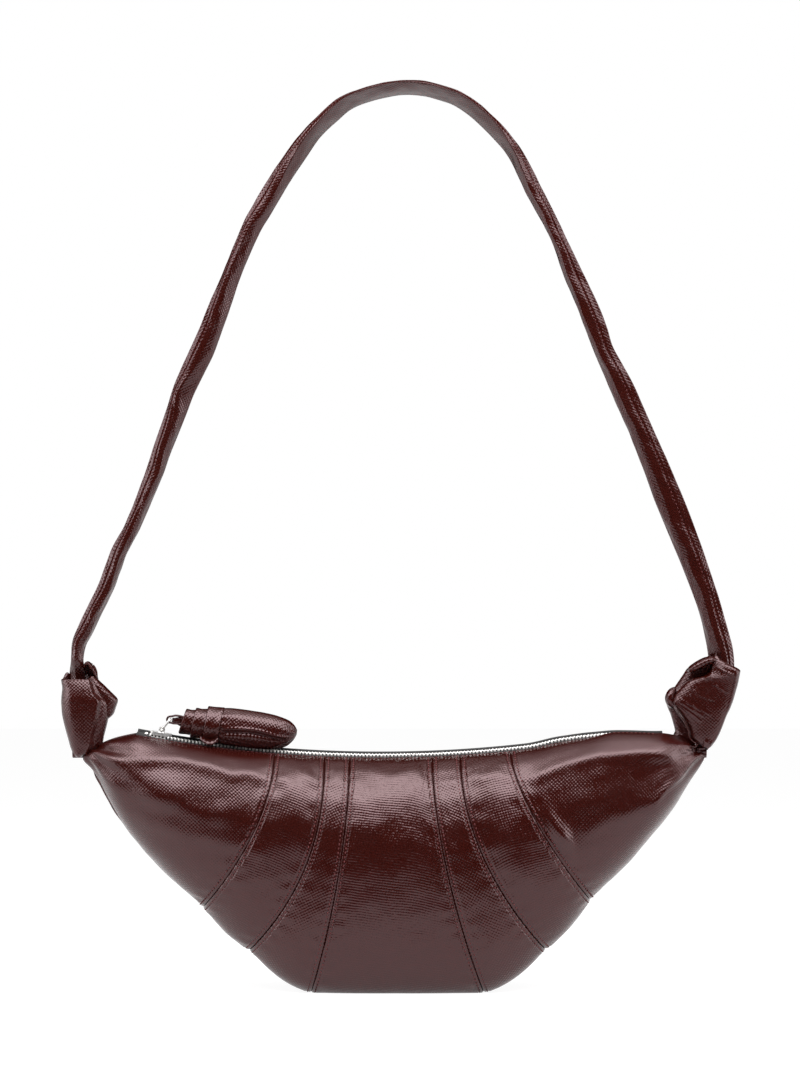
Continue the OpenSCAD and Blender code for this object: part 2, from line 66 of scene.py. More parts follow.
# The direction from the bag's front to its rear
ACROSS = np.array([0, 1.0, 0])

# The zip runs along an arc: its radius, its centre's height and how far left it is lowest
ARC_RADIUS = 803.523
ARC_Z = ARC_RADIUS - 411.0
MOUTH_LOW = 12.0
# Where the body gathers into its necks, its base, its middle and the share of a section's
# run that lies flat on the base
NECK_X, NECK_Z = 196, -405.0
BASE_Z = -555.0
BODY_MIDDLE = (0, 0, -470)
BASE_SHARE = 0.08
CANVAS_WALL, LINING_WALL, TAPE_WALL = 1.2, 0.5, 0.5

# Stations along the body: left neck, mouth end, outer, middle and inner seam, middle, then
# the inner, middle and outer seam, mouth end and neck on the right
MOUTH_START, MOUTH_END, LAST_STATION = 1, 9, 10
SEAMS = (2, 3, 4, 6, 7, 8)
TOP_X = (-196, -162, -77.5, -46.5, -31, -5, 19.8, 37.2, 68.2, 162, 189.5)
FOOT_X = (-195, -167, -122, -93, -54.6, -1.5, 51.5, 89.9, 117.8, 157, 188)
FOOT_Z = (-413, -458.5, -504, -530, -555, -555, -555, -529.5, -499.5, -456, -414)
HALF_DEPTH = (4.6, 25, 43, 48, 51, 52, 51, 48, 43, 25, 4.6)
BASE_HALF = (1.2, 1.2, 5, 12.5, 23.75, 25, 23.75, 12.5, 5, 1.2, 1.2)
SEAM_BEND = (1.7, 1.8, 1.85, 2.4, 1.8, 1.8, 1.7, 2.0, 1.5, 1.6, 1.6)
MOUTH_FRONT = 5.3
MOUTH_REAR = 7.0

# Soft dents and swells of the front as the cloth hangs: x, z, half width, half height, height
SWELLS = (
    (5, -462, 9, 17, 1.3), (62, -463, 8, 14, 1.3), (74, -481, 9, 12, 1.2),
    (51, -526, 10, 14, 1.1), (98, -456, 6, 12, 1.4), (156, -441, 8, 8, 1.9),
    (-20, -452, 9, 12, 0.8), (-112, -446, 14, 8, 1.6), (-60, -460, 8, 14, 0.8),
    (-140, -432, 12, 9, 1.0), (120, -437, 14, 8, 1.2), (28, -500, 10, 18, 0.7),
)

# Folds of the front: height, half width, then the places of the crest as x and z
FOLDS = (
    (1.5, 4.2, ((-196, -411), (-175, -411.5), (-157, -413), (-136, -412.5), (-117, -417),
                (-103, -421.5), (-93, -420), (-70, -424))),
    (1.0, 3.4, ((-62, -421), (-50, -425), (-38, -422), (-26, -424))),
    (0.9, 4.0, ((-20, -419), (-5, -424), (8, -421), (18, -424))),
    (0.9, 3.6, ((38, -420), (50, -424), (63, -420))),
    (1.5, 4.0, ((82, -423.5), (101, -416), (122, -411), (150, -409), (172, -412))),
    (1.3, 2.6, ((154, -438), (162, -430), (174, -421), (182, -412))),
    (2.6, 7.5, ((89, -441), (91, -448), (97, -457), (106, -464))),
    (0.9, 6.0, ((-182, -424), (-165, -432), (-145, -437), (-120, -444))),
    (0.8, 6.0, ((-160, -448), (-135, -456), (-105, -462), (-80, -470))),
    (0.9, 6.0, ((172, -428), (150, -440), (128, -447), (112, -458))),
)


# Numbers and curves

def ramp(value, start, end):
    """Smooth step: 0 before start, 1 after end, and 3t^2 - 2t^3 between."""
    t = np.clip((value - start) / (end - start), 0, 1)
    return t * t * (3 - 2 * t)


def hump(value, middle, width):
    """Bell curve exp(-((value - middle) / width)^2)."""
    return np.exp(-((value - middle) / width) ** 2)


def spline(table, place):
    """Smooth curve through a table: each stretch is the cubic through its two ends whose
    slopes there are half the difference of the neighbours on both sides (Catmull-Rom)."""
    t = np.asarray(table, float)
    t = np.concatenate([[2 * t[0] - t[1]], t, [2 * t[-1] - t[-2]]])
    place = np.asarray(place, float)
    i = np.clip(np.floor(place).astype(int), 0, len(table) - 2)
    f = place - i
    a, b, c, d = t[i], t[i + 1], t[i + 2], t[i + 3]
    return b + f * ((c - a) + f * ((2 * a - 5 * b + 4 * c - d) + f * (3 * (b - c) + d - a))) / 2


def along_rows(lengths, targets, values):
    """For each row, the values at the target lengths, read off between its own points. Rows
    are set end to end on one number line, so that all are read at once."""
    step = lengths[:, -1:].max() + 1.0
    shift = np.arange(len(lengths))[:, None] * step
    found = np.interp((targets + shift).ravel(), (lengths + shift).ravel(), values.ravel())
    return found.reshape(targets.shape)


def run_of(points, axis):
    """Length run along an axis of a grid of points, starting from 0."""
    steps = np.linalg.norm(np.diff(points, axis=axis), axis=-1)
    start = np.zeros_like(np.take(steps, [0], axis=axis))
    return np.concatenate([start, np.cumsum(steps, axis=axis)], axis=axis)


def unit(vectors):
    return vectors / np.maximum(np.linalg.norm(vectors, axis=-1, keepdims=True), 1e-12)


def read_at(places, run, values):
    """Rows of values at places along their run, read off between its own points."""
    return np.stack([np.interp(places, run, column) for column in values.T], 1)


def around(count, start=0.0):
    """Angles of a full turn in even steps."""
    return np.linspace(0, 2 * np.pi, count, endpoint=False) + start


def oval(turn, wide_power=1.0, high_power=1.0):
    """Superellipse: (cos t |cos t|^(power - 1), sin t |sin t|^(power - 1))."""
    c, s = np.cos(turn), np.sin(turn)
    return np.sign(c) * np.abs(c) ** wide_power, np.sign(s) * np.abs(s) ** high_power


def ripple(a, b, seed):
    """Sum of five plane waves of two coordinates, with wave numbers and phases set by a seed:
    a smooth irregular surface between about -1 and 1."""
    rng = np.random.default_rng(seed)
    turns, sizes, phases = (rng.uniform(*span, 5) for span in ((0, 6.28), (0.6, 1.5), (0, 6.28)))
    total = sum(np.sin(s * (a * math.cos(t) + b * math.sin(t)) + p)
                for t, s, p in zip(turns, sizes, phases))
    return total / 2.6


def fold_relief(x, z):
    """Sum of long folds: tall exp(-((z - crest(x)) / width)^2), each fading out at its ends."""
    total = 0.0
    for tall, width, crest in FOLDS:
        line = np.array(sorted(crest), float)
        middle = np.interp(x, line[:, 0], line[:, 1])
        (start, _), (end, _) = line[0], line[-1]
        ends = ramp(x, start - 5, start + 7) * (1 - ramp(x, end - 7, end + 5))
        total = total + tall * ends * hump(z, middle, width)
    return total


# Meshes

def skin(points, closed=True, capped=True, inside=None, uv=None, grain=0.0):
    """Vertices, faces and UV corners of a grid, or of many alike, given in mm as rows by
    columns. closed joins the last column to the first, and capped closes the two end rows
    with a flat face each. Faces look away from inside, or out of the solid. UVs are the
    lengths run along and across the cloth, from the middle of each row, turned by grain."""
    if points.ndim == 3:
        points = points[None]
    count, rows, cols = points.shape[:3]
    number = np.arange(count * rows * cols).reshape(count, rows, cols)
    wrapped = np.concatenate([points, points[:, :, :1]], 2) if closed else points
    ring = np.concatenate([number, number[..., :1]], -1) if closed else number

    def corners(grid):
        return np.stack([grid[:, :-1, :-1], grid[:, :-1, 1:], grid[:, 1:, 1:], grid[:, 1:, :-1]], 3)

    quads = corners(ring).reshape(-1, 4)
    flat = points.reshape(-1, 3)
    corner = flat[quads]
    facing = np.cross(corner[:, 2] - corner[:, 0], corner[:, 3] - corner[:, 1])
    away = corner.mean(1) - (flat.mean(0) if inside is None else np.array(inside, float))
    turned = (facing * away).sum() < 0
    if uv is None:
        across = run_of(wrapped, 2)
        across = across - across[:, :, -1:] / 2
        down = np.broadcast_to(run_of(wrapped, 1).mean(2, keepdims=True), across.shape)
        uv = np.stack([across, down], -1) / UV_MM
    elif uv.ndim == 3:
        uv = uv[None]
    turn = np.array([[math.cos(grain), math.sin(grain)], [-math.sin(grain), math.cos(grain)]])
    uvs = corners(uv @ turn).reshape(-1, 4, 2)
    ends = np.zeros((0, cols), int)
    if capped:
        ends = np.concatenate([number[:, 0, ::-1], number[:, -1]])
    if turned:
        quads, uvs, ends = quads[:, ::-1], uvs[:, ::-1], ends[:, ::-1]
    uvs = np.concatenate([uvs.reshape(-1, 2), np.zeros((ends.size, 2))])
    return flat, quads.tolist() + ends.tolist(), uvs


def dress(obj, kind, body, *stands_for):
    """Gives an object its finish and slot, the CAD body it rides on and the nodes it replaces."""
    obj.data.materials.clear()
    obj.data.materials.append(finish_of(kind))
    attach(obj, body)
    if stands_for:
        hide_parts(*stands_for)


def piece(name, kind, body, skins, *stands_for):
    """One object from some skins, with the finish of its kind, on a CAD body."""
    if not isinstance(skins, list):
        skins = [skins]
    starts = np.cumsum([0] + [len(s[0]) for s in skins])
    faces = [[v + int(start) for v in face] for s, start in zip(skins, starts) for face in s[1]]
    mesh = bpy.data.meshes.new(name)
    mesh.from_pydata((np.concatenate([s[0] for s in skins]) * MM).tolist(), [], faces)
    layer = mesh.uv_layers.new(name="cloth")
    layer.data.foreach_set("uv", np.concatenate([s[2] for s in skins]).astype(np.float32).ravel())
    mesh.polygons.foreach_set("use_smooth", [True] * len(faces))
    mesh.update()
    obj = bpy.data.objects.new(name, mesh)
    bpy.context.scene.collection.objects.link(obj)
    dress(obj, kind, body, *stands_for)
    return obj


def sheet(name, kind, points, wall, stands_for, uv=None, grain=0.0):
    """A sheet of the bag from a grid of points, with its cloth thickness on its inner side."""
    obj = piece(name, kind, "bag", skin(points, False, False, BODY_MIDDLE, uv, grain), stands_for)
    solid = obj.modifiers.new("cloth thickness", "SOLIDIFY")
    solid.thickness, solid.offset = wall * MM, -1


def sweep(path, wide, thin, sideways, turn_count, roundness):
    """Closed tube along a path. Each section is the superellipse with half sizes wide and
    thin: (wide cos t |cos t|^(r-1), thin sin t |sin t|^(r-1)), with wide along sideways."""
    along = unit(np.gradient(path, axis=0))
    across = unit(sideways - (sideways * along).sum(-1, keepdims=True) * along)
    up = np.cross(along, across)
    c, s = oval(around(turn_count), roundness, roundness)
    wide, thin = (np.broadcast_to(v, len(path))[:, None, None] for v in (wide, thin))
    return path[:, None] + across[:, None] * wide * c[:, None] + up[:, None] * thin * s[:, None]


def stitch_row(line, run, across, away, spacing, stitch, ahead=0.4, sunk=0.0):
    """Short rounded threads on a line of cloth, at even lengths of its run. The spacing is
    the margin at both ends and the pitch, and a stitch is its length as a share of the pitch
    and its radius. Each lies along the line, and its outward side is the cross product of that
    and the cloth's direction across, turned towards away. It is a small ellipsoid of five
    rings of six points: ring k lies at cos of its angle along, with sin of it as radius."""
    (margin, pitch), (share, radius) = spacing, stitch
    at = np.arange(margin, run[-1] - margin, pitch)
    spots, further, side, outwards = (
        read_at(place, run, np.broadcast_to(values, line.shape))
        for place, values in ((at, line), (at + ahead, line), (at, across), (at, away)))
    along = unit(further - spots)
    out = unit(np.cross(along, side))
    out = out * np.sign((out * outwards).sum(1, keepdims=True))
    side = np.cross(along, out)
    ring = np.linspace(0.12 * np.pi, 0.88 * np.pi, 5)[None, :, None, None]
    c, s = (v[None, None, :, None] for v in oval(around(6)))
    along, out, side, spots = (v[:, None, None] for v in (along, out, side, spots))
    return skin(spots - sunk * out + np.cos(ring) * along * share * pitch / 2
                + radius * np.sin(ring) * (c * side + s * out))


# Materials

def linear(hex_colour):
    """Linear colour of an sRGB hex value such as "5A2A22"."""
    srgb = np.array([int(hex_colour[k:k + 2], 16) for k in (0, 2, 4)]) / 255
    value = np.where(srgb <= 0.04045, srgb / 12.92, ((srgb + 0.055) / 1.055) ** 2.4)
    return (*value.tolist(), 1.0)


def add(tree, kind, settings=None, **links):
    """Adds a node, sets its properties, and fills or links its inputs by name."""
    node = tree.nodes.new("ShaderNode" + kind)
    for key, value in (settings or {}).items():
        setattr(node, key, value)
    for key, value in links.items():
        name = key.replace("_", " ")
        numbered = key[0] == "i" and key[1:].isdigit()
        socket = node.inputs[int(key[1:]) if numbered else name]
        if isinstance(value, bpy.types.NodeSocket):
            tree.links.new(value, socket)
        else:
            socket.default_value = value
    return node


def new_material(name, finish, *values):
    """A material whose surface is the shader that its finish makes in its node tree."""
    material = bpy.data.materials.new(name)
    material.use_nodes = True
    tree = material.node_tree
    tree.nodes.clear()
    add(tree, "OutputMaterial", Surface=finish(tree, *values).outputs[0])
    return material


def wave_scale(spacing):
    """Scale of a wave texture, which turns 20 radians a unit, for waves at a spacing."""
    return 2 * math.pi / (20 * spacing)


def shade(colour, factor):
    return (*(min(1.0, factor * part) for part in colour[:3]), 1.0)


def coated_canvas(tree, tint, edge, pitch, depth, rough):
    """Plain woven cotton canvas under a thick glossy polyurethane coat: the threads still
    show through as a fine raised grid that breaks up each highlight, and the colour is a
    little lighter on the thread crowns. The real threads lie about 0.9 mm apart, too fine to
    show, so they are drawn coarser. The coat's red tints what it mirrors."""
    cloth = add(tree, "UVMap", {"uv_map": "cloth"}).outputs[0]
    bend = add(tree, "TexNoise", Vector=cloth, Scale=UV_MM / 22.0, Detail=4.0)
    warped = add(tree, "VectorMath", {"operation": "MULTIPLY_ADD"}, i0=bend.outputs["Color"],
                 i1=(0.02, 0.02, 0.0), i2=cloth).outputs[0]
    # One wave is two threads, over and under, and the product of the two sets is the weave
    over = []
    for direction in "XY":
        threads = add(tree, "TexWave", {"bands_direction": direction}, Vector=warped,
                      Scale=wave_scale(2 * pitch / UV_MM))
        over.append(add(tree, "Math", {"operation": "MULTIPLY_ADD"}, i0=threads.outputs["Fac"],
                        i1=2.0, i2=-1.0).outputs[0])
    weave = add(tree, "Math", {"operation": "MULTIPLY"}, i0=over[0], i1=over[1])
    coat = add(tree, "TexNoise", Vector=cloth, Scale=UV_MM / 1.4, Detail=3.0)
    uneven = add(tree, "TexNoise", Vector=cloth, Scale=UV_MM / 13.0, Detail=2.0)
    grain = add(tree, "Math", {"operation": "MULTIPLY_ADD"}, i0=coat.outputs["Fac"], i1=2.8,
                i2=weave.outputs[0])
    height = add(tree, "Math", {"operation": "MULTIPLY_ADD"}, i0=uneven.outputs["Fac"], i1=5.0,
                 i2=grain.outputs[0])
    bump = add(tree, "Bump", Strength=1.0, Distance=depth * MM, Height=height.outputs[0])
    crowns = add(tree, "MapRange", Value=weave.outputs[0], From_Min=-1.0, From_Max=1.0,
                 To_Min=0.0, To_Max=0.55)
    colour = add(tree, "Mix", {"data_type": "RGBA"}, i0=crowns.outputs[0], i6=tint, i7=edge)
    rough_map = add(tree, "MapRange", Value=uneven.outputs["Fac"], From_Min=0.3, From_Max=0.7,
                    To_Min=rough * 0.85, To_Max=rough * 1.2)
    return add(tree, "BsdfPrincipled", Base_Color=colour.outputs[2], IOR=1.55,
               Specular_Tint=(1.0, 0.74, 0.77, 1.0), Roughness=rough_map.outputs[0],
               Normal=bump.outputs[0])


def sewing_thread(tree, tint):
    """Bonded polyester thread sunk into its needle holes: nearly matt, so that it doesn't
    flash where the coat shines, with two plies that twist about once in 0.6 mm."""
    place = add(tree, "TexCoord").outputs["Object"]
    twist = add(tree, "TexWave", {"bands_direction": "DIAGONAL"}, Vector=place,
                Scale=wave_scale(0.6 * MM))
    bump = add(tree, "Bump", Strength=0.6, Distance=0.05 * MM, Height=twist.outputs["Fac"])
    return add(tree, "BsdfPrincipled", Base_Color=tint, Roughness=0.8, Normal=bump.outputs[0])


def woven_tape(tree, tint, pitch):
    """Woven polyester tape: matt, with ribs one thread apart."""
    cloth = add(tree, "UVMap", {"uv_map": "cloth"}).outputs[0]
    ribs = add(tree, "TexWave", {"bands_direction": "Y"}, Vector=cloth,
               Scale=wave_scale(pitch / UV_MM))
    fuzz = add(tree, "TexNoise", Vector=cloth, Scale=UV_MM / 0.4, Detail=2.0)
    height = add(tree, "Math", {"operation": "ADD"}, i0=ribs.outputs["Fac"], i1=fuzz.outputs["Fac"])
    bump = add(tree, "Bump", Strength=0.8, Distance=0.12 * MM, Height=height.outputs[0])
    colour = add(tree, "Mix", {"data_type": "RGBA"}, i0=fuzz.outputs["Fac"], i6=tint,
                 i7=shade(tint, 1.8))
    return add(tree, "BsdfPrincipled", Base_Color=colour.outputs[2], Roughness=0.75,
               Sheen_Weight=0.2, Normal=bump.outputs[0])


def nickel(tree, tint, rough, grit):
    """Nickel plated and tumbled zinc: bright, with a faint cloud of fine wear marks."""
    place = add(tree, "TexCoord").outputs["Object"]
    marks = add(tree, "TexNoise", Vector=place, Scale=1 / (grit * MM), Detail=3.0)
    wear = add(tree, "MapRange", Value=marks.outputs["Fac"], From_Min=0.3, From_Max=0.7,
               To_Min=rough * 0.7, To_Max=rough * 1.5)
    bump = add(tree, "Bump", Strength=0.3, Distance=0.02 * MM, Height=marks.outputs["Fac"])
    return add(tree, "BsdfPrincipled", Base_Color=tint, Metallic=1.0, Roughness=wear.outputs[0],
               Normal=bump.outputs[0])


def cotton_lining(tree, tint, pitch):
    """Plain cotton lining: matt, with a fine even weave."""
    cloth = add(tree, "UVMap", {"uv_map": "cloth"}).outputs[0]
    warp, weft = (add(tree, "TexWave", {"bands_direction": direction}, Vector=cloth,
                      Scale=wave_scale(pitch / UV_MM)).outputs["Fac"] for direction in "XY")
    weave = add(tree, "Math", {"operation": "MULTIPLY"}, i0=warp, i1=weft)
    bump = add(tree, "Bump", Strength=0.5, Distance=0.1 * MM, Height=weave.outputs[0])
    colour = add(tree, "Mix", {"data_type": "RGBA"}, i0=weave.outputs[0],
                 i6=shade(tint, 0.75), i7=tint)
    return add(tree, "BsdfPrincipled", Base_Color=colour.outputs[2], Roughness=0.85,
               Sheen_Weight=0.3, Normal=bump.outputs[0])


# The material slot of the record that each finish shows
MATERIALS = {}


def finish_of(kind):
    """The material of a kind, made on first use from the colours in the sidebar."""
    if kind not in MATERIALS:
        looks = bpy.context.scene.bag_looks
        tint, crown, thread = ((*colour, 1.0) for colour in (
            looks.canvas_colour, looks.crown_colour, looks.thread_colour))
        canvas, gloss = (coated_canvas, tint, crown, looks.thread_pitch / MM), looks.gloss_roughness
        MATERIALS[kind] = new_material(*{
            "canvas": ("coated canvas", *canvas, 0.07, gloss),
            "strap": ("coated canvas strap", *canvas, 0.06, gloss),
            "thread": ("polyester sewing thread", sewing_thread, thread),
            "tape": ("woven polyester zip tape", woven_tape, linear("0C0909"), 0.5),
            "teeth": ("tumbled nickel teeth", nickel, linear("F8F5F3"), 0.5, 0.5),
            "metal": ("polished nickel plate", nickel, linear("F4F3F1"), 0.42, 1.2),
            "lining": ("plain cotton lining", cotton_lining, linear("8C7564"), 0.45),
        }[kind])
    return MATERIALS[kind]


# The body of the bag

def mouth_height(x):
    """Height of the folded mouth edge at x: the zip's arc, ARC_Z - sqrt(R^2 - (x + low)^2),
    lifted a little past the slider's travel and let down where the mouth ends on the right."""
    arc = ARC_Z - np.sqrt(ARC_RADIUS ** 2 - (x + MOUTH_LOW) ** 2)
    return arc + 1.8 * ramp(x, 78, 100) * (1 - ramp(x, 108, 142)) - 7.5 * ramp(x, 128, 174)


def body_surface(p, s):
    """Point of the bag's outer surface. p runs along the stations and s round the bag, from
    -1 at the front edge of the mouth by 0 under the base to 1 at the rear edge. A section
    falls as (1 - cos t) / 2 and swells as sin t, and runs outwards by a power of its fall."""
    turn = np.minimum(np.pi, np.pi * (1 - np.abs(s)) / (1 - BASE_SHARE))
    fall = (1 - np.cos(turn)) / 2
    top_x, foot_x = spline(TOP_X, p), spline(FOOT_X, p)
    foot_z = np.maximum(spline(FOOT_Z, p), BASE_Z - 0.2)
    past = np.clip(np.maximum(MOUTH_START - p, p - MOUTH_END), 0, 1)
    mouth = mouth_height(np.clip(top_x, TOP_X[1], TOP_X[-2]))
    front = ramp(-s, 0.5, 0.9)
    mouth = mouth - front * (0.8 - 2.6 * ramp(top_x, 112, 135)) * (1 - past)
    top_z = mouth - 11.5 * past ** 1.3
    slit = np.clip(past * 5, 0, 1)
    edge = np.where(s < 0, MOUTH_FRONT, MOUTH_REAR) * (1 - slit) + 0.2 * slit
    near = np.where(turn < np.pi / 2, edge, spline(BASE_HALF, p))
    depth = spline(HALF_DEPTH, p)
    out = (near + (depth - near) * np.sin(turn)) * np.minimum(1, np.abs(s) / BASE_SHARE)
    x = top_x + (foot_x - top_x) * fall ** spline(SEAM_BEND, p)
    return np.stack([x, np.sign(s) * out, top_z + (foot_z - top_z) * fall], -1)


def body_normal(p, s):
    """Outward direction of the surface: the cross product of its two slopes."""
    step = 0.004
    over = (body_surface(np.minimum(p + step, LAST_STATION), s)
            - body_surface(np.maximum(p - step, 0), s))
    down = body_surface(p, np.minimum(s + step, 1)) - body_surface(p, np.maximum(s - step, -1))
    return unit(np.cross(down, over))


def cloth_relief(point, s):
    """How far the cloth stands out of the plain surface, in mm: gathers that fan out of each
    neck and die away, a few wavy folds along the top, soft swells and a fine unevenness."""
    x, z = point[..., 0], point[..., 2]
    side = np.where(point[..., 1] < 0, 0.0, 1.7)
    inwards = np.abs(np.abs(x) - NECK_X)
    reach = np.hypot(inwards, z - NECK_Z) + 1e-6
    fan = np.arctan2(z - NECK_Z, inwards + 1)
    wave = np.sin(13 * fan + 0.5 * np.sign(x) + side + 0.04 * reach)
    out = 1.5 * np.exp(-reach / 32) * ramp(reach, 2, 14) * wave
    out += 0.9 * hump(reach, 60, 45) * np.sin(7 * fan + 1.2 * np.sign(x) + side)
    top = hump(z, -428, 16) * ramp(reach, 20, 60)
    out += top * (0.5 * np.sin(x / 11.5 + 1.0 + side) + 0.4 * np.sin(x / 6.3 + 2.2 * side))
    front = (s < 0) * 1.0
    turned = np.where(point[..., 1] < 0, x, -0.9 * x)
    for mid_x, mid_z, wide, high, tall in SWELLS:
        out += (0.45 + 0.55 * front) * tall * hump(turned, mid_x, wide) * hump(z, mid_z, high)
    out += (0.6 + 0.4 * front) * fold_relief(turned, z)
    calm = 1 - 0.7 * ramp(z, -500, -540)
    out += calm * (0.35 * ripple(x / 9.0, z / 9.0 + side * 3, 5)
                   + 0.12 * ripple(x / 3.2, z / 3.2 + side * 3, 9))
    return out * ramp(1 - np.abs(s), 0.0, 0.08)


# Distances of a panel's first columns from its seam and of its first rows from the mouth
SEAM_STEPS = np.array([0, 0.35, 0.7, 1.1, 1.6, 2.1, 2.5, 2.9, 3.4, 4.0, 4.8, 5.8])
EDGE_STEPS = np.array([0, 0.3, 0.7, 1.2, 1.8, 2.5, 3.1, 3.6, 4.1, 4.7, 5.5, 6.6, 8.0])
# The distance that stands for a seam which an end panel hasn't got
NO_SEAM = 1e3
# Sections shorter than this, at the necks, have their rows spread by shares instead
SHORT_SECTION = 40


def panel_places(first, last, middle_count, row_count):
    """Grid of places (p, s) for one panel, with rows at set distances from the mouth's edge
    and columns at set distances from its seams, and even steps between."""
    p = np.linspace(first, last, 70)
    s = np.linspace(-1, 0, 400)
    lengths = run_of(body_surface(p[:, None], s[None]), 1)
    full = lengths[:, -1:]
    even = np.linspace(0, 1, row_count)[1:]
    rest = np.where(full > SHORT_SECTION, EDGE_STEPS[-1] + (full - EDGE_STEPS[-1]) * even,
                    0.2 * full + 0.8 * full * even)
    targets = np.concatenate([EDGE_STEPS[None] * np.minimum(1, full / SHORT_SECTION), rest], 1)
    s_rows = along_rows(lengths, targets, np.broadcast_to(s, lengths.shape)).T
    s_rows[-1] = 0
    s_rows = np.concatenate([s_rows, -s_rows[-2::-1]])
    grid_p = np.broadcast_to(p, s_rows.shape)
    widths = run_of(body_surface(grid_p, s_rows), 1)
    full = widths[:, -1:]
    left = SEAM_STEPS if first > 0 else SEAM_STEPS[:1]
    right = SEAM_STEPS if last < LAST_STATION else SEAM_STEPS[:1]
    pinch = np.minimum(1, full / 13)
    even = np.linspace(0, 1, middle_count + 1)[1:-1]
    inner, outer = left[-1] * pinch, full - right[-1] * pinch
    targets = np.concatenate([left * pinch, inner + (outer - inner) * even,
                              full - right[::-1] * pinch], 1)
    return along_rows(widths, targets, grid_p), along_rows(widths, targets, s_rows), targets, full


def panel_points(first, last, middle_count, row_count):
    """Points of one panel of canvas: the body's surface, puffed between its seams, sunk in a
    narrow groove at each seam and mouth edge, drawn in along the stitches, and its relief."""
    p, s, left, full = panel_places(first, last, middle_count, row_count)
    base, out = body_surface(p, s), body_normal(p, s)
    right = full - left
    near = np.minimum(left if first > 0 else NO_SEAM, right if last < LAST_STATION else NO_SEAM)
    share = left / full
    if first > 0 and last < LAST_STATION:
        puff = np.sin(np.pi * np.clip(share, 0, 1)) ** 0.75
    else:
        puff = ramp(near, 0, 30) * (1 - ramp(near, 40, 110))
    puff = puff * np.clip(full / 30, 0.3, 1.0) * 1.5
    turn = 1 - np.abs(s)
    fall = run_of(base, 0)
    pucker = 0.22 * hump(near, 5.5, 4.0) * np.sin(
        fall / 1.9 + 3 * np.sin(fall / 21.0)) * (0.4 + 0.6 * np.sin(fall / 17.0 + first) ** 2)
    relief = cloth_relief(base, s) * ramp(near, 0.0, 9) + pucker * ramp(turn, 0.06, 0.2)
    relief += puff * ramp(turn, 0.02, 0.25)
    relief += -0.4 * hump(near, 0, 0.35) - 0.15 * hump(near, 0, 1.6)
    # The stitches draw the cloth in, and it swells on both sides of them
    relief += -0.16 * hump(near, 2.6, 0.5) + 0.2 * hump(near, 1.3, 0.5) + 0.2 * hump(near, 4.0, 0.7)
    edge = np.minimum(fall, run_of(base[::-1], 0)[::-1])
    open_mouth = (ramp(p, MOUTH_START - 0.25, MOUTH_START + 0.05)
                  * (1 - ramp(p, MOUTH_END - 0.05, MOUTH_END + 0.25)))
    relief += open_mouth * (-0.6 * hump(edge, 0, 0.7) - 0.2 * hump(edge, 3.8, 0.45)
                            + 0.2 * hump(edge, 2.0, 0.9))
    return base + out * relief[..., None]


# Each panel's first and last station, its columns between the seams and its grain in degrees
PANELS = {
    "panel_left_end": (0, 2, 60, 2), "panel_left_middle": (2, 3, 14, 24),
    "panel_left_inner": (3, 4, 10, -18), "panel_centre": (4, 6, 36, 35),
    "panel_right_inner": (6, 7, 10, 16), "panel_right_middle": (7, 8, 14, -28),
    "panel_right_end": (8, 10, 60, -4),
}


class BAG_OT_panels(Operator):
    """Builds the seven canvas panels"""
    bl_idname = "bag.panels"
    bl_label = "Canvas panels"

    def execute(self, context):
        for node, (first, last, middle, grain) in PANELS.items():
            points = panel_points(first, last, middle, context.scene.bag_looks.panel_rows)
            # The cloth's own measure: along the bag, and the run round it from the mouth
            uv = np.stack([points[..., 0], run_of(points * [0, 1, 1], 0)], -1) / UV_MM
            sheet(node.replace("panel", "canvas"), "canvas", points, CANVAS_WALL, node, uv,
                  math.radians(grain))
        return {"FINISHED"}


# Margin at both ends of a row of stitches, then the length of a stitch as a share of the
# pitch and its radius, for the seams, the mouth and the strap
SEAM_MARGIN, MOUTH_MARGIN, STRAP_MARGIN = 4.5, 2, 24
SEAM_STITCH, MOUTH_STITCH, STRAP_STITCH = (0.55, 0.42), (0.5, 0.36), (0.5, 0.33)
# How far below the mouth's edge its stitches run
MOUTH_STITCH_DROP = 3.6


def seam_row(seam, offset, pitch):
    """Row of stitches beside a seam, at an offset in mm that is negative on its left."""
    first, last = (seam, seam + 1) if offset > 0 else (seam - 1, seam)
    points = panel_points(first, last, 12, 150)
    if offset < 0:
        points = points[:, ::-1]
    runs, target = run_of(points, 1), np.full((len(points), 1), abs(offset))
    line = np.stack([along_rows(runs, target, points[..., k])[:, 0] for k in range(3)], 1)
    return stitch_row(line, run_of(line, 0), unit(points[:, 9] - points[:, 4]), line - BODY_MIDDLE,
                      (SEAM_MARGIN, pitch), SEAM_STITCH)


class BAG_OT_stitches(Operator):
    """Sews the rows of stitches beside the six seams and along the mouth"""
    bl_idname = "bag.stitches"
    bl_label = "Stitches"

    def execute(self, context):
        looks = context.scene.bag_looks
        pitch, offset = looks.stitch_pitch / MM, looks.seam_offset / MM
        piece("seam_stitches", "thread", "bag",
              [seam_row(seam, side * offset, pitch) for seam in SEAMS for side in (-1, 1)])
        p, rows = np.linspace(MOUTH_START + 0.05, MOUTH_END - 0.05, 1500), []
        for side in (-1, 1):
            s = side * np.ones_like(p)
            edge = body_surface(p, s)
            down = unit(body_surface(p, s * 0.985) - edge)
            line = edge + MOUTH_STITCH_DROP * down
            rows.append(stitch_row(line, run_of(line, 0), down, (0, 0, 1), (MOUTH_MARGIN, pitch),
                                   MOUTH_STITCH, sunk=0.05))
        piece("mouth_stitches", "thread", "bag", rows)
        return {"FINISHED"}


def inset_sheet(first, last, low, high, inset, rows, cols):
    """A sheet that follows the body's surface at an even distance inside it."""
    p, s = np.meshgrid(np.linspace(first, last, cols), np.linspace(low, high, rows))
    return body_surface(p, s) - inset * body_normal(p, s)


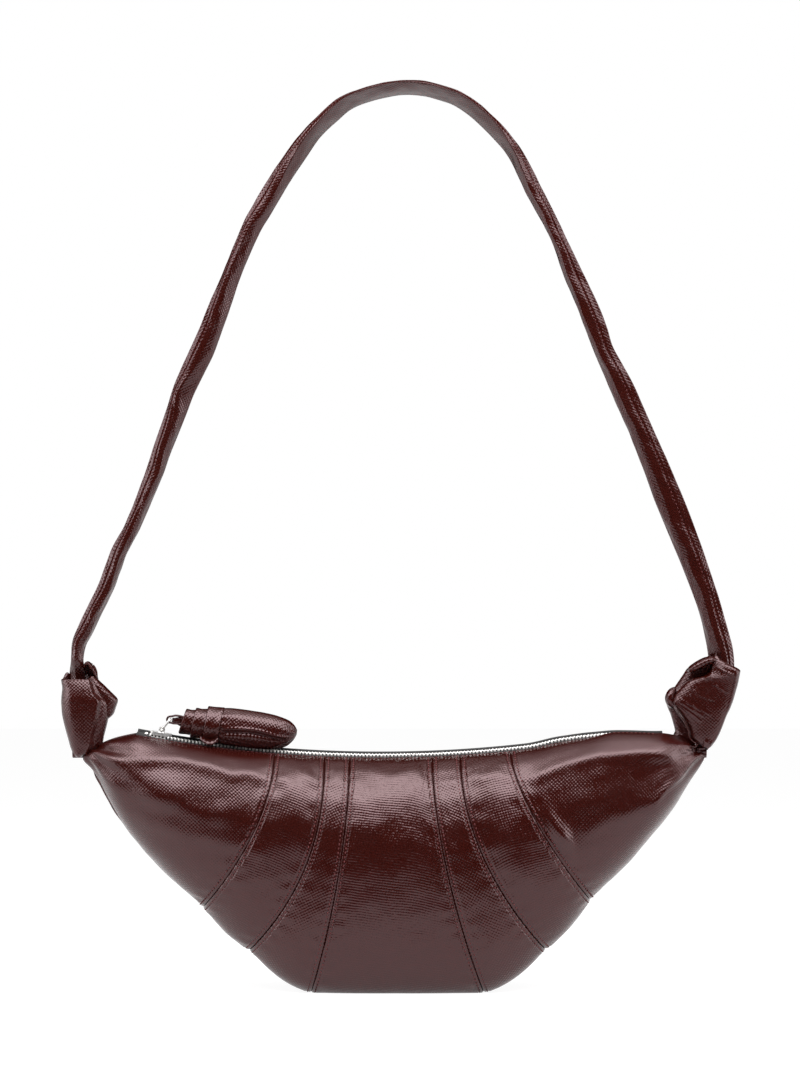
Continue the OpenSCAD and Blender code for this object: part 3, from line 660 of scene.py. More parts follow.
class BAG_OT_lining(Operator):
    """Builds the lining and its slip pocket"""
    bl_idname = "bag.lining"
    bl_label = "Lining and pocket"

    def execute(self, context):
        for name, node, area, inset, rows, cols in (
                ("lining_cloth", "lining", (1.1, 8.9, -0.94, 0.94), 2.6, 120, 110),
                ("slip_pocket", "inner_pocket", (3.1, 6.9, 0.34, 0.66), 4.4, 40, 60)):
            sheet(name, "lining", inset_sheet(*area, inset, rows, cols), LINING_WALL, node)
        return {"FINISHED"}


# The zip

def zip_frame(x):
    """Middle of the teeth at x along the mouth, the direction along it and upwards."""
    slope = mouth_height(x + 0.5) - mouth_height(x - 0.5)
    along = unit(np.stack([np.ones_like(x), 0 * x, slope], -1))
    up = np.stack([-along[..., 2], 0 * x, along[..., 0]], -1)
    return np.stack([x, 0 * x, mouth_height(x) + 0.3], -1), along, up


def along_zip(profile, reach, steps):
    """Carries a smooth profile through (across, up) points along the mouth."""
    place = np.linspace(0, len(profile) - 1, 30)
    across, high = (spline(column, place) for column in zip(*profile))
    middle, _, up = zip_frame(np.linspace(-reach, reach, steps))
    return middle[:, None] + up[:, None] * high[:, None] + ACROSS * across[:, None]


# Section of each tape, folded up beside the teeth: places across the bag and above the zip
TAPES = {
    "front": ((-2.3, -0.6), (-2.3, 0.5), (-3.0, 0.55), (-3.6, 0.2), (-4.2, -0.3), (-4.8, -0.8),
              (-5.1, -1.8), (-5.9, -2.9), (-8.4, -3.1)),
    "rear": ((3.3, 0), (4.2, 0.25), (4.8, 1.6), (5.5, 2.3), (6.1, 1.5), (6.3, -1.2), (6.8, -2.9),
             (8.6, -3.2)),
}
TAPE_REACH, TAPE_STEPS = 163, 262
TOOTH_PITCH, TOOTH_COUNT = 2.2, 141
# Each block's rings: how far out from the zip's middle, half their length and half their height
TOOTH = ((0.42, 0.42, 0.85), (0.75, 0.52, 1.1), (3.2, 0.56, 1.2), (4.1, 0.64, 1.15),
         (4.5, 0.5, 0.7))
TOP_STOP = ((0.6, 0.9, 0.9), (0.9, 1.15, 1.2), (3.4, 1.15, 1.25), (3.8, 0.8, 0.9))
BOTTOM_STOP = ((-3.8, 0.9, 0.9), (-3.4, 1.2, 1.25), (3.4, 1.2, 1.25), (3.8, 0.9, 0.9))


def clamped_blocks(x, side, profile):
    """Rounded blocks of metal clamped on the tapes at places x along the zip: each has rings
    of eight points at set distances from its middle, with half a length and half a height."""
    middle, along, up = zip_frame(x)
    c, s = oval(around(8, np.pi / 8), 0.75, 0.85)
    far, long, high = np.array(profile).T
    points = (middle[:, None, None]
              + along[:, None, None] * (long[:, None] * c)[None, ..., None]
              + up[:, None, None] * (high[:, None] * s)[None, ..., None]
              + side * ACROSS * far[None, :, None, None])
    return skin(points)


class BAG_OT_zip(Operator):
    """Builds the tapes and the teeth of the zip"""
    bl_idname = "bag.zip"
    bl_label = "Zip"

    def execute(self, context):
        for name, profile in TAPES.items():
            sheet("tape_" + name, "tape", along_zip(profile, TAPE_REACH, TAPE_STEPS), TAPE_WALL,
                  "zip_tape_" + name)
        for name, side, phase in (("front", -1, 0.235), ("rear", 1, 0.735)):
            x = (np.arange(TOOTH_COUNT) - TOOTH_COUNT / 2 + phase) * TOOTH_PITCH
            piece("teeth_" + name, "teeth", "bag", clamped_blocks(x, side, TOOTH),
                  "zip_teeth_" + name)
        ends = [np.array([sum(corner[0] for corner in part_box(node)) / 2 / MM])
                for node in ("zip_top_stops", "zip_bottom_stop")]
        piece("top_stops", "teeth", "bag",
              [clamped_blocks(ends[0], side, TOP_STOP) for side in (-1, 1)], "zip_top_stops")
        piece("bottom_stop", "teeth", "bag", clamped_blocks(ends[1], 1, BOTTOM_STOP),
              "zip_bottom_stop")
        return {"FINISHED"}


class BAG_OT_slider(Operator):
    """Finishes the slider and bends its wire ring"""
    bl_idname = "bag.slider"
    bl_label = "Slider and ring"

    def execute(self, context):
        obj = bpy.data.objects.new("slider_casting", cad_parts["slider"].data.copy())
        context.scene.collection.objects.link(obj)
        dress(obj, "metal", "slider", "slider")
        weld = obj.modifiers.new("weld", "WELD")
        weld.merge_threshold = 0.01 * MM
        bevel = obj.modifiers.new("cast edges", "BEVEL")
        bevel.width, bevel.segments, bevel.limit_method = 0.22 * MM, 2, "ANGLE"
        # The ring is a rounded rectangle, laid out evenly along its wire
        c, s = oval(np.linspace(0, 2 * np.pi, 97), 0.35, 0.35)
        far, wide = RING_LONG / 2 * (1 + c), RING_WIDE / 2 * s
        loop = np.stack([LUG[0] + far * RING_ALONG[0], wide, LUG[2] + far * RING_ALONG[2]], 1)
        run = run_of(loop, 0)
        path = read_at(np.linspace(0, run[-1], 121)[:-1], run, loop)
        ahead = unit(np.roll(path, -1, 0) - np.roll(path, 1, 0))
        flat = np.cross(RING_ALONG, ACROSS)
        side = unit(np.cross(ahead, flat))
        c, s = (part[None, :, None] for part in oval(around(16)))
        tube = path[:, None] + WIRE_RADIUS * (c * side[:, None] + s * flat)
        piece("wire_ring", "metal", "ring", skin(np.concatenate([tube, tube[:1]]), capped=False),
              "pull_ring")
        return {"FINISHED"}


# The puller, in a frame of its own: along it, across it and up from the ring's bar

LUG = np.array([-147.671, 0.0, -394.512])
BAR = np.array([-142.552, 0.0, -388.364])
RING_LONG, RING_WIDE, WIRE_RADIUS = 8.0, 7.6, 0.8
RING_ALONG = (BAR - LUG) / RING_LONG
TILT = math.radians(5.78)
# Run of a collar band and how far its skin stands out there, rolled in at both hems
HEM = ((0, -1.0), (0.02, -0.3), (0.06, -0.05), (0.12, 0), (0.2, 0.02), (0.35, -0.12), (0.5, -0.2),
       (0.65, -0.12), (0.8, 0.05), (0.88, 0.15), (0.94, 0.12), (0.98, -0.15), (1.0, -1.0))
# Each band's start, length, radius, lean and the angle of its lap
BANDS = ((7.6, 7.2, 8.1, 0.2, 2.6), (14.2, 8.2, 9.7, 0.1, 3.4), (21.9, 9.6, 11.7, 0.06, 4.2))
# The padded end's run, radius and sag below the puller's axis
PAD = ((28.5, 9.6, -0.9), (31.5, 12.0, -1.0), (36, 12.8, -1.0), (42, 13.0, -1.1), (50, 13.0, -1.4),
       (58, 12.7, -1.6), (66, 11.6, -1.6), (73, 9.0, -1.2), (77, 5.6, -0.6), (79, 2.2, 0))


def puller_point(along, across, up):
    """A place of the puller in the bag's frame: its axis falls TILT below level."""
    return np.stack([BAR[0] + along * math.cos(TILT) + up * math.sin(TILT), across + 0 * along,
                     BAR[2] - along * math.sin(TILT) + up * math.cos(TILT)], -1)


def collar_band(start, length, radius, lean, lap):
    """One turn of the wrapped collar: a sleeve with a rolled hem at both ends, pressed a
    little flat, leaning forward at its top, with a lap that steps where the strip ends."""
    t, hem = (column[:, None] for column in np.array(HEM).T)
    turn = around(96)
    high = np.sin(turn)
    step = 0.5 * ramp(np.cos(turn - lap), 0.2, 0.9) + 0.15 * np.sin(5 * turn + lap)
    r = radius + hem + step + 0.12 * np.sin(7 * turn + 9 * t + lap)
    rows = start + length * t + lean * radius * high + 1.2 * t * np.maximum(high, 0) ** 3
    return puller_point(rows, r * np.cos(turn), 0.97 * r * np.sin(turn) - 0.04 * radius)


def pad_form(shrink, rows, cols):
    """Padded end: a rounded tube whose radius and sag below the puller's axis follow tables
    of its run, each section a superellipse a little fuller than a circle."""
    place = np.linspace(0, len(PAD) - 1, rows)
    run, radius, sag = (spline(column, place)[:, None] for column in zip(*PAD))
    radius = radius - shrink
    c, s = oval(around(cols, -np.pi / 2), 0.92, 0.95)
    return np.broadcast_to(run, (rows, cols)), 0.96 * radius * c, sag + radius * s


def pad_relief(run, turn):
    """Folds of the pad's cover: a crease that rises and falls along its lower half with a
    lip over it, a second line below, fine pulls from the collar, and a pinched end."""
    line = -0.12 + 0.16 * np.sin(np.pi * np.clip((run - 30) / 42, 0, 1)) - 0.16 * ramp(run, 52, 76)
    crease, lip = -1.2 * hump(turn, line - 0.2, 0.12), 0.75 * hump(turn, line, 0.09)
    fall = (32 - run) / 110
    low = 0.5 * hump(turn, fall - 0.62, 0.06) - 0.7 * hump(turn, fall - 0.75, 0.09)
    low = low * (1 - ramp(run, 46, 62))
    pulls = 0.25 * np.sin(11 * turn + 0.5) * np.exp(-(run - 32) / 9)
    tip = 0.4 * np.sin(8 * turn) * ramp(run, 66, 76)
    return (crease + lip) * ramp(run, 31, 36) * (1 - ramp(run, 70, 78)) + low + pulls + tip


class BAG_OT_puller(Operator):
    """Builds the puller: its loop, its wrapped collar and its padded end"""
    bl_idname = "bag.puller"
    bl_label = "Puller"

    def execute(self, context):
        turn = np.linspace(-np.pi / 2, np.pi / 2, 17)
        back = np.linspace(9.5, 0.3, 14)
        along = np.concatenate([back, -1.9 * np.cos(turn), back[::-1]])
        up = np.concatenate([0 * back - 1.9, 1.9 * np.sin(turn), 0 * back + 1.9])
        up = up * (1 + 0.3 * ramp(along, 0, 3) - 0.2 * ramp(along, 4, 9)) + 0.35 * ramp(along, 0, 4)
        path = puller_point(along, 0 * along, up)
        # The strip's two ends lie folded between its plies and widen towards the collar
        t = np.linspace(0, 1, 12)
        web = puller_point(1.3 + 8.2 * t, 0 * t, -0.7 * t)
        upright = puller_point(0, 0, 1) - BAR
        piece("loop_strip", "canvas", "puller",
              [skin(sweep(path, 2.6, 0.62, ACROSS, 20, 0.6)),
               skin(sweep(web, 1.3 + 1.9 * ramp(t, 0, 0.8), 1.7 + 0.4 * t, upright, 24, 0.7))],
              "puller_loop")
        # The strip's end, folded under at the lower front of the last turn
        path = puller_point(*np.array([[20.6, -6.2, -7.6], [22.2, -7.6, -9.4], [25.6, -8.2, -10.6],
                                       [28.8, -8.0, -9.4], [30.4, -7.4, -6.8]]).T)
        tail = lying_tube(path, 3.4, 1.0, (0.2, -0.75, -0.6), 40, 24, 0.7)
        piece("collar_wrap", "canvas", "puller",
              [skin(collar_band(*band)) for band in BANDS] + [skin(tail)], "puller_collar")
        self.pad()
        return {"FINISHED"}

    def pad(self):
        """Blows the padded end up as cloth from a smaller form, caps how far it swells, then
        presses its folds in."""
        run, across, up = pad_form(1.0, 110, 132)
        obj = piece("padded_end", "canvas", "puller", skin(puller_point(run, across, up)),
                    "puller_pad", "puller_filling")
        blow_up(obj, 1.2)
        place = places_of(obj.data)
        from_bar = place - BAR
        run = from_bar[:, 0] * math.cos(TILT) - from_bar[:, 2] * math.sin(TILT)
        rise = from_bar[:, 0] * math.sin(TILT) + from_bar[:, 2] * math.cos(TILT) + 1.3
        turn = np.arctan2(rise, -place[:, 1])
        out = np.stack([0 * run, place[:, 1], rise], 1)
        out = unit(out) * pad_relief(run, turn)[:, None]
        place[:, 0] += out[:, 2] * math.sin(TILT)
        place[:, 1] += out[:, 1]
        place[:, 2] += out[:, 2] * math.cos(TILT)
        # Where it rests, the zip and the mouth's edges press it flat
        rest = mouth_height(place[:, 0]) + 0.5 + 1.3 * hump(place[:, 1], 0, 5)
        place[:, 2] = np.maximum(place[:, 2], rest)
        obj.data.vertices.foreach_set("co", (place * MM).ravel())
        obj.data.update()


def places_of(mesh):
    """The mesh's vertices in mm."""
    place = np.zeros(len(mesh.vertices) * 3)
    mesh.vertices.foreach_get("co", place)
    return place.reshape(-1, 3) / MM


def blow_up(obj, cap):
    """Cloth under pressure: gravity off, 20 steps, each point kept within a cap of where it
    started, and the simulated mesh kept as the piece's own."""
    scene, last_step = bpy.context.scene, 20
    start = places_of(obj.data)
    cloth = obj.modifiers.new("stuffing", "CLOTH")
    cloth.settings.quality = 6
    cloth.settings.mass = 0.2
    cloth.settings.tension_stiffness = 25
    cloth.settings.bending_stiffness = 0.6
    cloth.settings.use_pressure = True
    cloth.settings.uniform_pressure_force = 4
    cloth.settings.effector_weights.gravity = 0
    cloth.collision_settings.use_collision = False
    cloth.point_cache.frame_start, cloth.point_cache.frame_end = 1, last_step
    for step in range(1, last_step + 1):
        scene.frame_set(step)
    moved = places_of(obj.evaluated_get(bpy.context.evaluated_depsgraph_get()).data) - start
    obj.modifiers.remove(cloth)
    far = np.linalg.norm(moved, axis=1, keepdims=True)
    moved *= np.minimum(1, cap / np.maximum(far, 1e-6))
    obj.data.vertices.foreach_set("co", ((start + moved) * MM).ravel())
    obj.data.update()
    scene.frame_set(1)


# The strap

# The strap from the left knot over its crown to the right knot. Each row gives the middle of
# its outline as x and z, half its width as seen from the front, how far its front ridge lies
# towards the inner edge (-1 is the outer edge, 1 the inner one), how far the ridge stands
# forward and how far back the outer and the inner edge lie
STRAP = (
    (-200.3, -368, 5.8, -0.1, 5.6, 3, -4), (-200.3, -357, 4.8, -0.15, 6.2, 3, -4),
    (-200, -349.5, 4.0, -0.35, 6.6, 2, -2.4), (-198.8, -341, 4.5, -0.1, 6.8, 0, 0),
    (-195.3, -333, 5.1, 0.16, 7, 0, 0), (-189.7, -321, 5.1, 0.3, 7, 0, 0),
    (-183.2, -308, 5.1, 0.46, 7, 0, 0), (-178.6, -296, 5.0, 0.49, 7, 0, 0),
    (-173.9, -283.3, 5.0, 0.45, 7, 0, 0), (-167.2, -271, 4.9, 0.25, 7, 0, 0),
    (-161.5, -258.5, 5.0, 0.22, 7, 0, 0), (-156.6, -246, 5.3, 0.34, 7, 0, 0),
    (-151.9, -233.7, 5.5, 0.55, 6.8, 0, 0), (-147.5, -221, 5.9, 0.2, 6.6, 0, 0),
    (-142.9, -208.9, 6.2, 0.06, 6.4, 0, 0), (-138.3, -196.5, 6.6, -0.25, 6, 0, 0),
    (-133.9, -184.1, 6.9, -0.4, 6, 0, 0), (-128.4, -171.5, 7.4, 0.0, 5.6, 0, 0),
    (-122.5, -159.3, 7.6, 0.04, 5.4, 0, 0), (-117.5, -147, 7.1, 0.12, 5.8, 0, 0),
    (-112.8, -134.5, 6.8, 0.05, 6, 0, 0), (-103.2, -109.7, 5.8, -0.26, 6.8, 0, 0),
    (-92.7, -84.9, 6.1, -0.2, 6.4, 0, 0), (-85.8, -72.5, 6.4, 0.05, 6, 0, 0),
    (-78.7, -60.1, 6.5, 0.25, 5.6, 0, 0), (-71, -47.7, 6.3, 0.0, 6, 0, 0),
    (-62.3, -35.3, 6.0, -0.2, 6.4, 0, 0), (-52.7, -22.9, 5.2, -0.3, 7, 0, 0),
    (-41.2, -11.8, 5.2, -0.45, 7, 1, 1), (-31.6, -4.6, 4.8, -0.55, 7.6, 2, 2),
    (-17, 0.5, 4.4, -0.6, 8, 2, 2), (0, 3.6, 4.2, -0.6, 8, 2, 2), (14, 3.2, 4.3, -0.6, 8, 2, 2),
    (24, 1.0, 4.4, -0.6, 7.6, 2, 2), (35.6, -3.1, 4.5, -0.6, 7.4, 1, 1),
    (48, -11.6, 4.8, -0.55, 7.2, 0, 0), (59.8, -22.9, 4.7, -0.4, 7, 0, 0),
    (70, -35.3, 4.6, -0.1, 7, 0, 0), (77, -47.5, 4.9, 0.3, 7, 0, 0),
    (83.1, -60.1, 5.2, 0.47, 7, 0, 0), (89.6, -72.5, 4.9, 0.38, 7, 0, 0),
    (96.1, -84.9, 4.5, 0.75, 7, 0, 0), (101.5, -97.5, 5.0, 0.5, 7, 0, 0),
    (106.6, -109.7, 5.7, 0.6, 7, 0, 0), (117.5, -134.5, 6.6, 0.72, 6.4, 0, 0),
    (122.3, -147, 6.6, 0.68, 6.2, 0, 0), (126.5, -159.3, 6.2, 0.55, 6, 0, 0),
    (132.5, -171.7, 6.9, 0.35, 6, 0, 0), (138.5, -184.1, 7.5, 0.52, 5.8, 0, 0),
    (143.9, -196.5, 7.6, 0.5, 5.6, 0, 0), (149.4, -208.9, 7.5, 0.32, 5.6, 0, 0),
    (159.7, -233.7, 8.3, 0.3, 5.2, 0, 0), (169.6, -258.5, 8.8, 0.38, 5, 0, 0),
    (179.5, -283.3, 8.3, 0.3, 5, 0, 0), (184, -295.5, 7.9, 0.36, 5.2, 0, 0),
    (188.5, -308.1, 7.5, 0.2, 5.6, 0, 0), (192.6, -320.5, 7.4, 0.33, 5.8, 0, 0),
    (195.9, -332.9, 7.6, 0.3, 5.8, 0, 1), (198.7, -345.3, 8.0, 0.1, 5.8, 0, 2),
    (199.6, -356.5, 7.8, -0.1, 6, 0, 2), (198.5, -366, 6.5, -0.1, 6, 0, 2),
)
# Columns of points across the strap's four faces
STRAP_COLUMNS = (30, 18, 16, 16)


def strap_points(rows):
    """The strap as a flattened tube of canvas along its hanging line. Its section has four
    bulged faces between its outer edge, front ridge, inner edge and rear ridge:
    corner + share (next - corner) + bulge sin(pi share), with the corners rounded off by a
    running mean. Shallow creases cross it, and a seam is pressed along the front outer face."""
    table = np.array(STRAP, float)
    step = run_of(table[:, :2], 0)
    place = np.interp(np.linspace(0, step[-1], rows), step, np.arange(len(table)))
    x, z, half, ridge, front, outer_back, inner_back = (
        spline(column, place) for column in table.T)
    # Over the crown the ridge stands further out and the inner face is deeper
    crown = ramp(z, -70, -15)
    front, inner_back = front * (0.5 + 0.5 * crown), inner_back + 3.5 + 4.5 * crown
    # The left end runs back as it goes down into its knot
    centre = np.stack([x, 4 * ramp(z, -350, -362) * (x < 0), z], 1)
    along = unit(np.gradient(centre, axis=0))
    along = np.stack([np.convolve(np.pad(along[:, k], 6, "edge"), np.ones(13) / 13, "valid")
                      for k in range(3)], 1)
    out = unit(np.stack([-along[:, 2], 0 * x, along[:, 0]], 1))
    corner = np.array([(half, outer_back), (-ridge * half, -front), (-half, inner_back),
                       (0.1 * half, 0.5 * front + 1.2 + 0.6 * inner_back)])
    length = run_of(centre, 0)
    faces = []
    for k, count in enumerate(STRAP_COLUMNS):
        share = np.arange(count) / count
        start, end = corner[k].T[:, None], corner[(k + 1) % 4].T[:, None]
        face = start + (end - start) * share[None, :, None]
        normal = unit(np.stack([end[..., 1] - start[..., 1], start[..., 0] - end[..., 0]], -1))
        bulge = (0.55 * np.sin(np.pi * share)
                 + 0.3 * ripple(length[:, None] / 6.5, 5 * share, 11 + k)
                 + 0.12 * ripple(length[:, None] / 2.2, 9 * share, 21 + k))
        if k == 0:
            bulge = bulge - 0.4 * hump(share, 0.5, 0.05) + 0.2 * hump(share, 0.38, 0.08)
        faces.append(face - normal * bulge[..., None])
    section = np.concatenate(faces, 1)
    for _ in range(2):
        section = (np.roll(section, 1, 1) + section * 2 + np.roll(section, -1, 1)) / 4
    return centre[:, None] + out[:, None] * section[..., :1] + ACROSS * section[..., 1:], length


class BAG_OT_strap(Operator):
    """Builds the strap and its row of stitches"""
    bl_idname = "bag.strap"
    bl_label = "Strap"

    def execute(self, context):
        points, run = strap_points(900)
        piece("strap_tube", "strap", "strap", skin(points), "strap")
        pitch, column = context.scene.bag_looks.stitch_pitch / MM, STRAP_COLUMNS[0] // 2
        piece("strap_stitches", "thread", "strap",
              stitch_row(points[:, column], run, points[:, column + 2] - points[:, column - 2],
                         (0, -1, 0), (STRAP_MARGIN, pitch), STRAP_STITCH, ahead=0.5))
        return {"FINISHED"}


# The knots

def px(x, y):
    """A place in the picture plane, in pixels of the photograph, as x and z in mm."""
    return (x - PHOTO_X) * PHOTO_MM, (PHOTO_Y - y) * PHOTO_MM


def near_line(x, z, line):
    """Distance of places from a smooth line through a few points of the picture plane, its
    sign (positive left of the line as it runs) and the share of the line that is nearest."""
    line = np.stack(px(*np.array(line, float).T), 1)
    place = np.linspace(0, len(line) - 1, 5 * len(line))
    bend = np.stack([spline(line[:, k], place) for k in (0, 1)], 1)
    step = np.diff(bend, axis=0)
    from_start = np.stack([x, z], -1)[..., None, :] - bend[:-1]
    share = np.clip((from_start * step).sum(-1) / (step ** 2).sum(-1), 0, 1)
    gap = from_start - share[..., None] * step
    far = np.linalg.norm(gap, axis=-1)
    nearest = far.argmin(-1)[..., None]
    side = step[:, 0] * gap[..., 1] - step[:, 1] * gap[..., 0]
    far, side, share = (np.take_along_axis(v, nearest, -1)[..., 0] for v in (far, side, share))
    return far, np.sign(side), (nearest[..., 0] + share) / len(step)


def marks_relief(x, z, marks):
    """Sum of marks in the cloth, each along a line, as kind, height in mm, width in mm and
    line. A ridge is height exp(-(d / width)^2). A terrace raises the left side of the line
    over its width. Each fades out at the ends of its line."""
    total = 0.0
    for kind, tall, width, line in marks:
        far, side, share = near_line(x, z, line)
        ends = ramp(share, 0, 0.1) * (1 - ramp(share, 0.9, 1))
        form = hump(far, 0, width) if kind == "ridge" else ramp(far * side, -width, width)
        total = total + tall * ends * form
    return total


def wrap_form(table, rows, cols, power, marks=(), open_top=0.0, rim=None):
    """A wrapped mass of cloth from its sections, top to bottom. Each row of the table is
    its height, left and right edge in pixels of the photograph and its front and rear in mm,
    and each section is a superellipse between these, with the marks on its front. open_top
    turns the upper hem over a lip and down inside to a floor, and rim raises the hem."""
    table = np.array(table, float)
    place = np.linspace(0, len(table) - 1, rows)
    z, left, right, front, rear = (spline(table[:, k], place) for k in range(5))
    z, left, right = px(0, z)[1], px(left, 0)[0], px(right, 0)[0]
    turn = around(cols, np.pi / 2)
    cx, cy = oval(turn, power, power)
    share = np.linspace(0, 1, rows)
    middle, half = (left + right) / 2, (right - left) / 2
    y_middle, y_half = (front + rear) / 2, (rear - front) / 2
    height = np.broadcast_to(z[:, None], (rows, cols))
    if rim is not None:
        height = height + rim(turn)[None] * (1 - ramp(share, 0, 0.3))[:, None]
    x = middle[:, None] + half[:, None] * cx
    grow = 0.3 * ripple(x / 4.5, height / 4.5 + 3 * (cy > 0), 3) * np.abs(cy)
    if marks:
        grow = grow + marks_relief(x, height, marks) * ramp(-cy, 0.1, 0.5)
    y = y_middle[:, None] + (y_half[:, None] + grow) * cy
    points = np.stack([x, y, height], -1)

    def ring(at, shrink, lift):
        """A row moved in by shrink and up by lift, about its own middle."""
        row = points[at].copy()
        mid = np.array([middle[at], y_middle[at], 0])
        size = np.array([max(half[at], 1), max(y_half[at], 1), 1])
        row = mid + (row - mid) * (1 - shrink / size) + [0, 0, lift]
        row[:, 2] = points[at][:, 2] + lift
        return row[None]

    top = ((half[0] * 0.7, 1.6), (half[0] * 0.4, 1.3), (1.0, 0.7), (0.3, 0.3))
    if open_top:
        top = ((2.6, -open_top), (2.2, -open_top / 2), (1.8, -0.6), (1.5, 0.25), (0.9, 0.6),
               (0.35, 0.5), (0.05, 0.2))
    foot = ((0.3, -0.3), (1.0, -0.7), (half[-1] * 0.45, -1.0), (half[-1] * 0.75, -1.1))
    return np.concatenate([ring(0, *step) for step in top] + [points]
                          + [ring(-1, *step) for step in foot])


def lying_tube(points, wide, thin, sideways, steps, cols, roundness=0.9):
    """A rounded fold of cloth: a tube through a few places whose size runs down to nothing
    at both ends as the root of a sine."""
    place = np.linspace(0, len(points) - 1, steps)
    path = np.stack([spline(column, place) for column in np.array(points, float).T], 1)
    swell = np.sin(np.pi * (np.linspace(0, 0.98, steps) + 0.01)) ** 0.45
    return sweep(path, wide * swell, thin * swell, np.array(sideways, float), cols, roundness)


def fold_of(line, wide, thin, sideways, steps, cols):
    """A rounded fold through places given as x and y in pixels of the photograph and depth."""
    x, y, depth = np.array(line, float).T
    x, z = px(x, y)
    return skin(lying_tube(np.stack([x, depth, z], 1), wide, thin, sideways, steps, cols))


# The knots' masses as wrap_form reads them, and the marks in their cloth as marks_relief does
LEFT_FRONT = (
    (679.8, 61.1, 98.2, -8.5, 9), (683.3, 61.6, 99.4, -9.5, 10),
    (687.8, 62.3, 100.9, -10.5, 10.5), (692.4, 61.9, 102.8, -11.2, 11),
    (697, 61.5, 105.1, -11.8, 11.3), (701.6, 61.3, 108.3, -12, 11.5),
    (707.7, 61.6, 108.9, -12, 11.5), (713.9, 62.1, 108.7, -12, 11.5),
    (720.7, 63.4, 107.8, -11.8, 11.2), (729.9, 65.7, 105.6, -11.2, 10.8),
    (736, 67.4, 104, -10.6, 10.4), (742.9, 69.3, 102.6, -9.8, 9.8),
    (746.7, 70.3, 100.1, -9.2, 9.2), (750.6, 71.8, 94.8, -8.6, 8.8), (753.6, 73, 88.7, -8, 8.2),
    (755.5, 75, 83.5, -7, 7),
)
# The second layer that stands out behind the first on its right
LEFT_BEHIND = (
    (678.5, 88, 97.5, -4.5, 5), (681.5, 88, 100.4, -5, 6), (684.8, 88, 104, -5.5, 7),
    (688.6, 88, 107.8, -5.5, 7.5), (692.4, 88, 111.6, -5.5, 8), (697.8, 89, 116.8, -5, 8.5),
    (701.6, 90, 117.6, -5, 8.5), (708.5, 92, 115.4, -5, 8.5), (714.2, 94, 113.2, -5, 8),
    (718.8, 95, 108.4, -4.5, 6), (721, 96, 105, -3.5, 5),
)
LEFT_MARKS = (
    ("terrace", -2.6, 1.5, ((88.7, 677), (91, 681.7), (92.5, 687.8), (95.2, 694), (98.4, 697),
                            (100.3, 701), (99.2, 708.5), (97, 720), (94.8, 728.4), (92.5, 735.3),
                            (91.7, 743.7), (88.7, 752.1), (87, 757))),
    ("ridge", 0.5, 1.0, ((88, 677), (90.4, 681.7), (91.9, 687.8), (94.2, 694), (97.4, 698),
                         (99.2, 701), (98.2, 708.5), (96, 720), (93.8, 728.4), (91.5, 735.3),
                         (90.7, 743.7), (87.7, 752.1))),
    ("ridge", -0.5, 2.2, ((66, 684), (65.5, 700), (67, 718), (71, 738))),
)
RIGHT_FRONT = (
    (655.7, 713.4, 717.6, -7.5, 0), (658.4, 712, 720, -8.5, 0), (661.4, 710.7, 724.4, -9.5, 1),
    (664.1, 710.2, 729.2, -10.2, 1.5), (666.8, 709.8, 735.3, -10.8, 2),
    (669.8, 709.2, 739.6, -11.2, 2), (672.9, 706.8, 739.5, -11.5, 2.5),
    (675.2, 702.4, 739, -11.8, 2.5), (677, 695.4, 738.7, -12, 2.5),
    (679, 690.4, 738.3, -12, 2.5), (681.7, 686, 737.8, -12, 3), (685.9, 681.8, 736.8, -12, 3),
    (689.7, 678.4, 735.7, -12, 3), (693.6, 674.9, 734.6, -12, 3), (698.9, 671.4, 733.1, -12, 3),
    (703.5, 671.6, 731.5, -12, 3), (708.9, 674.9, 729.3, -12, 3), (715.7, 680.1, 726, -11.8, 3),
    (723.4, 684.8, 723.1, -11.4, 3), (730.3, 687.7, 720.4, -10.8, 3),
    (735.6, 688.4, 718, -10.2, 3), (740.2, 691.7, 715.4, -9.4, 2.5),
    (743.3, 695.4, 713.2, -8.6, 2), (746, 700.6, 711, -8, 1), (747.6, 704.5, 709, -7.2, 0),
)
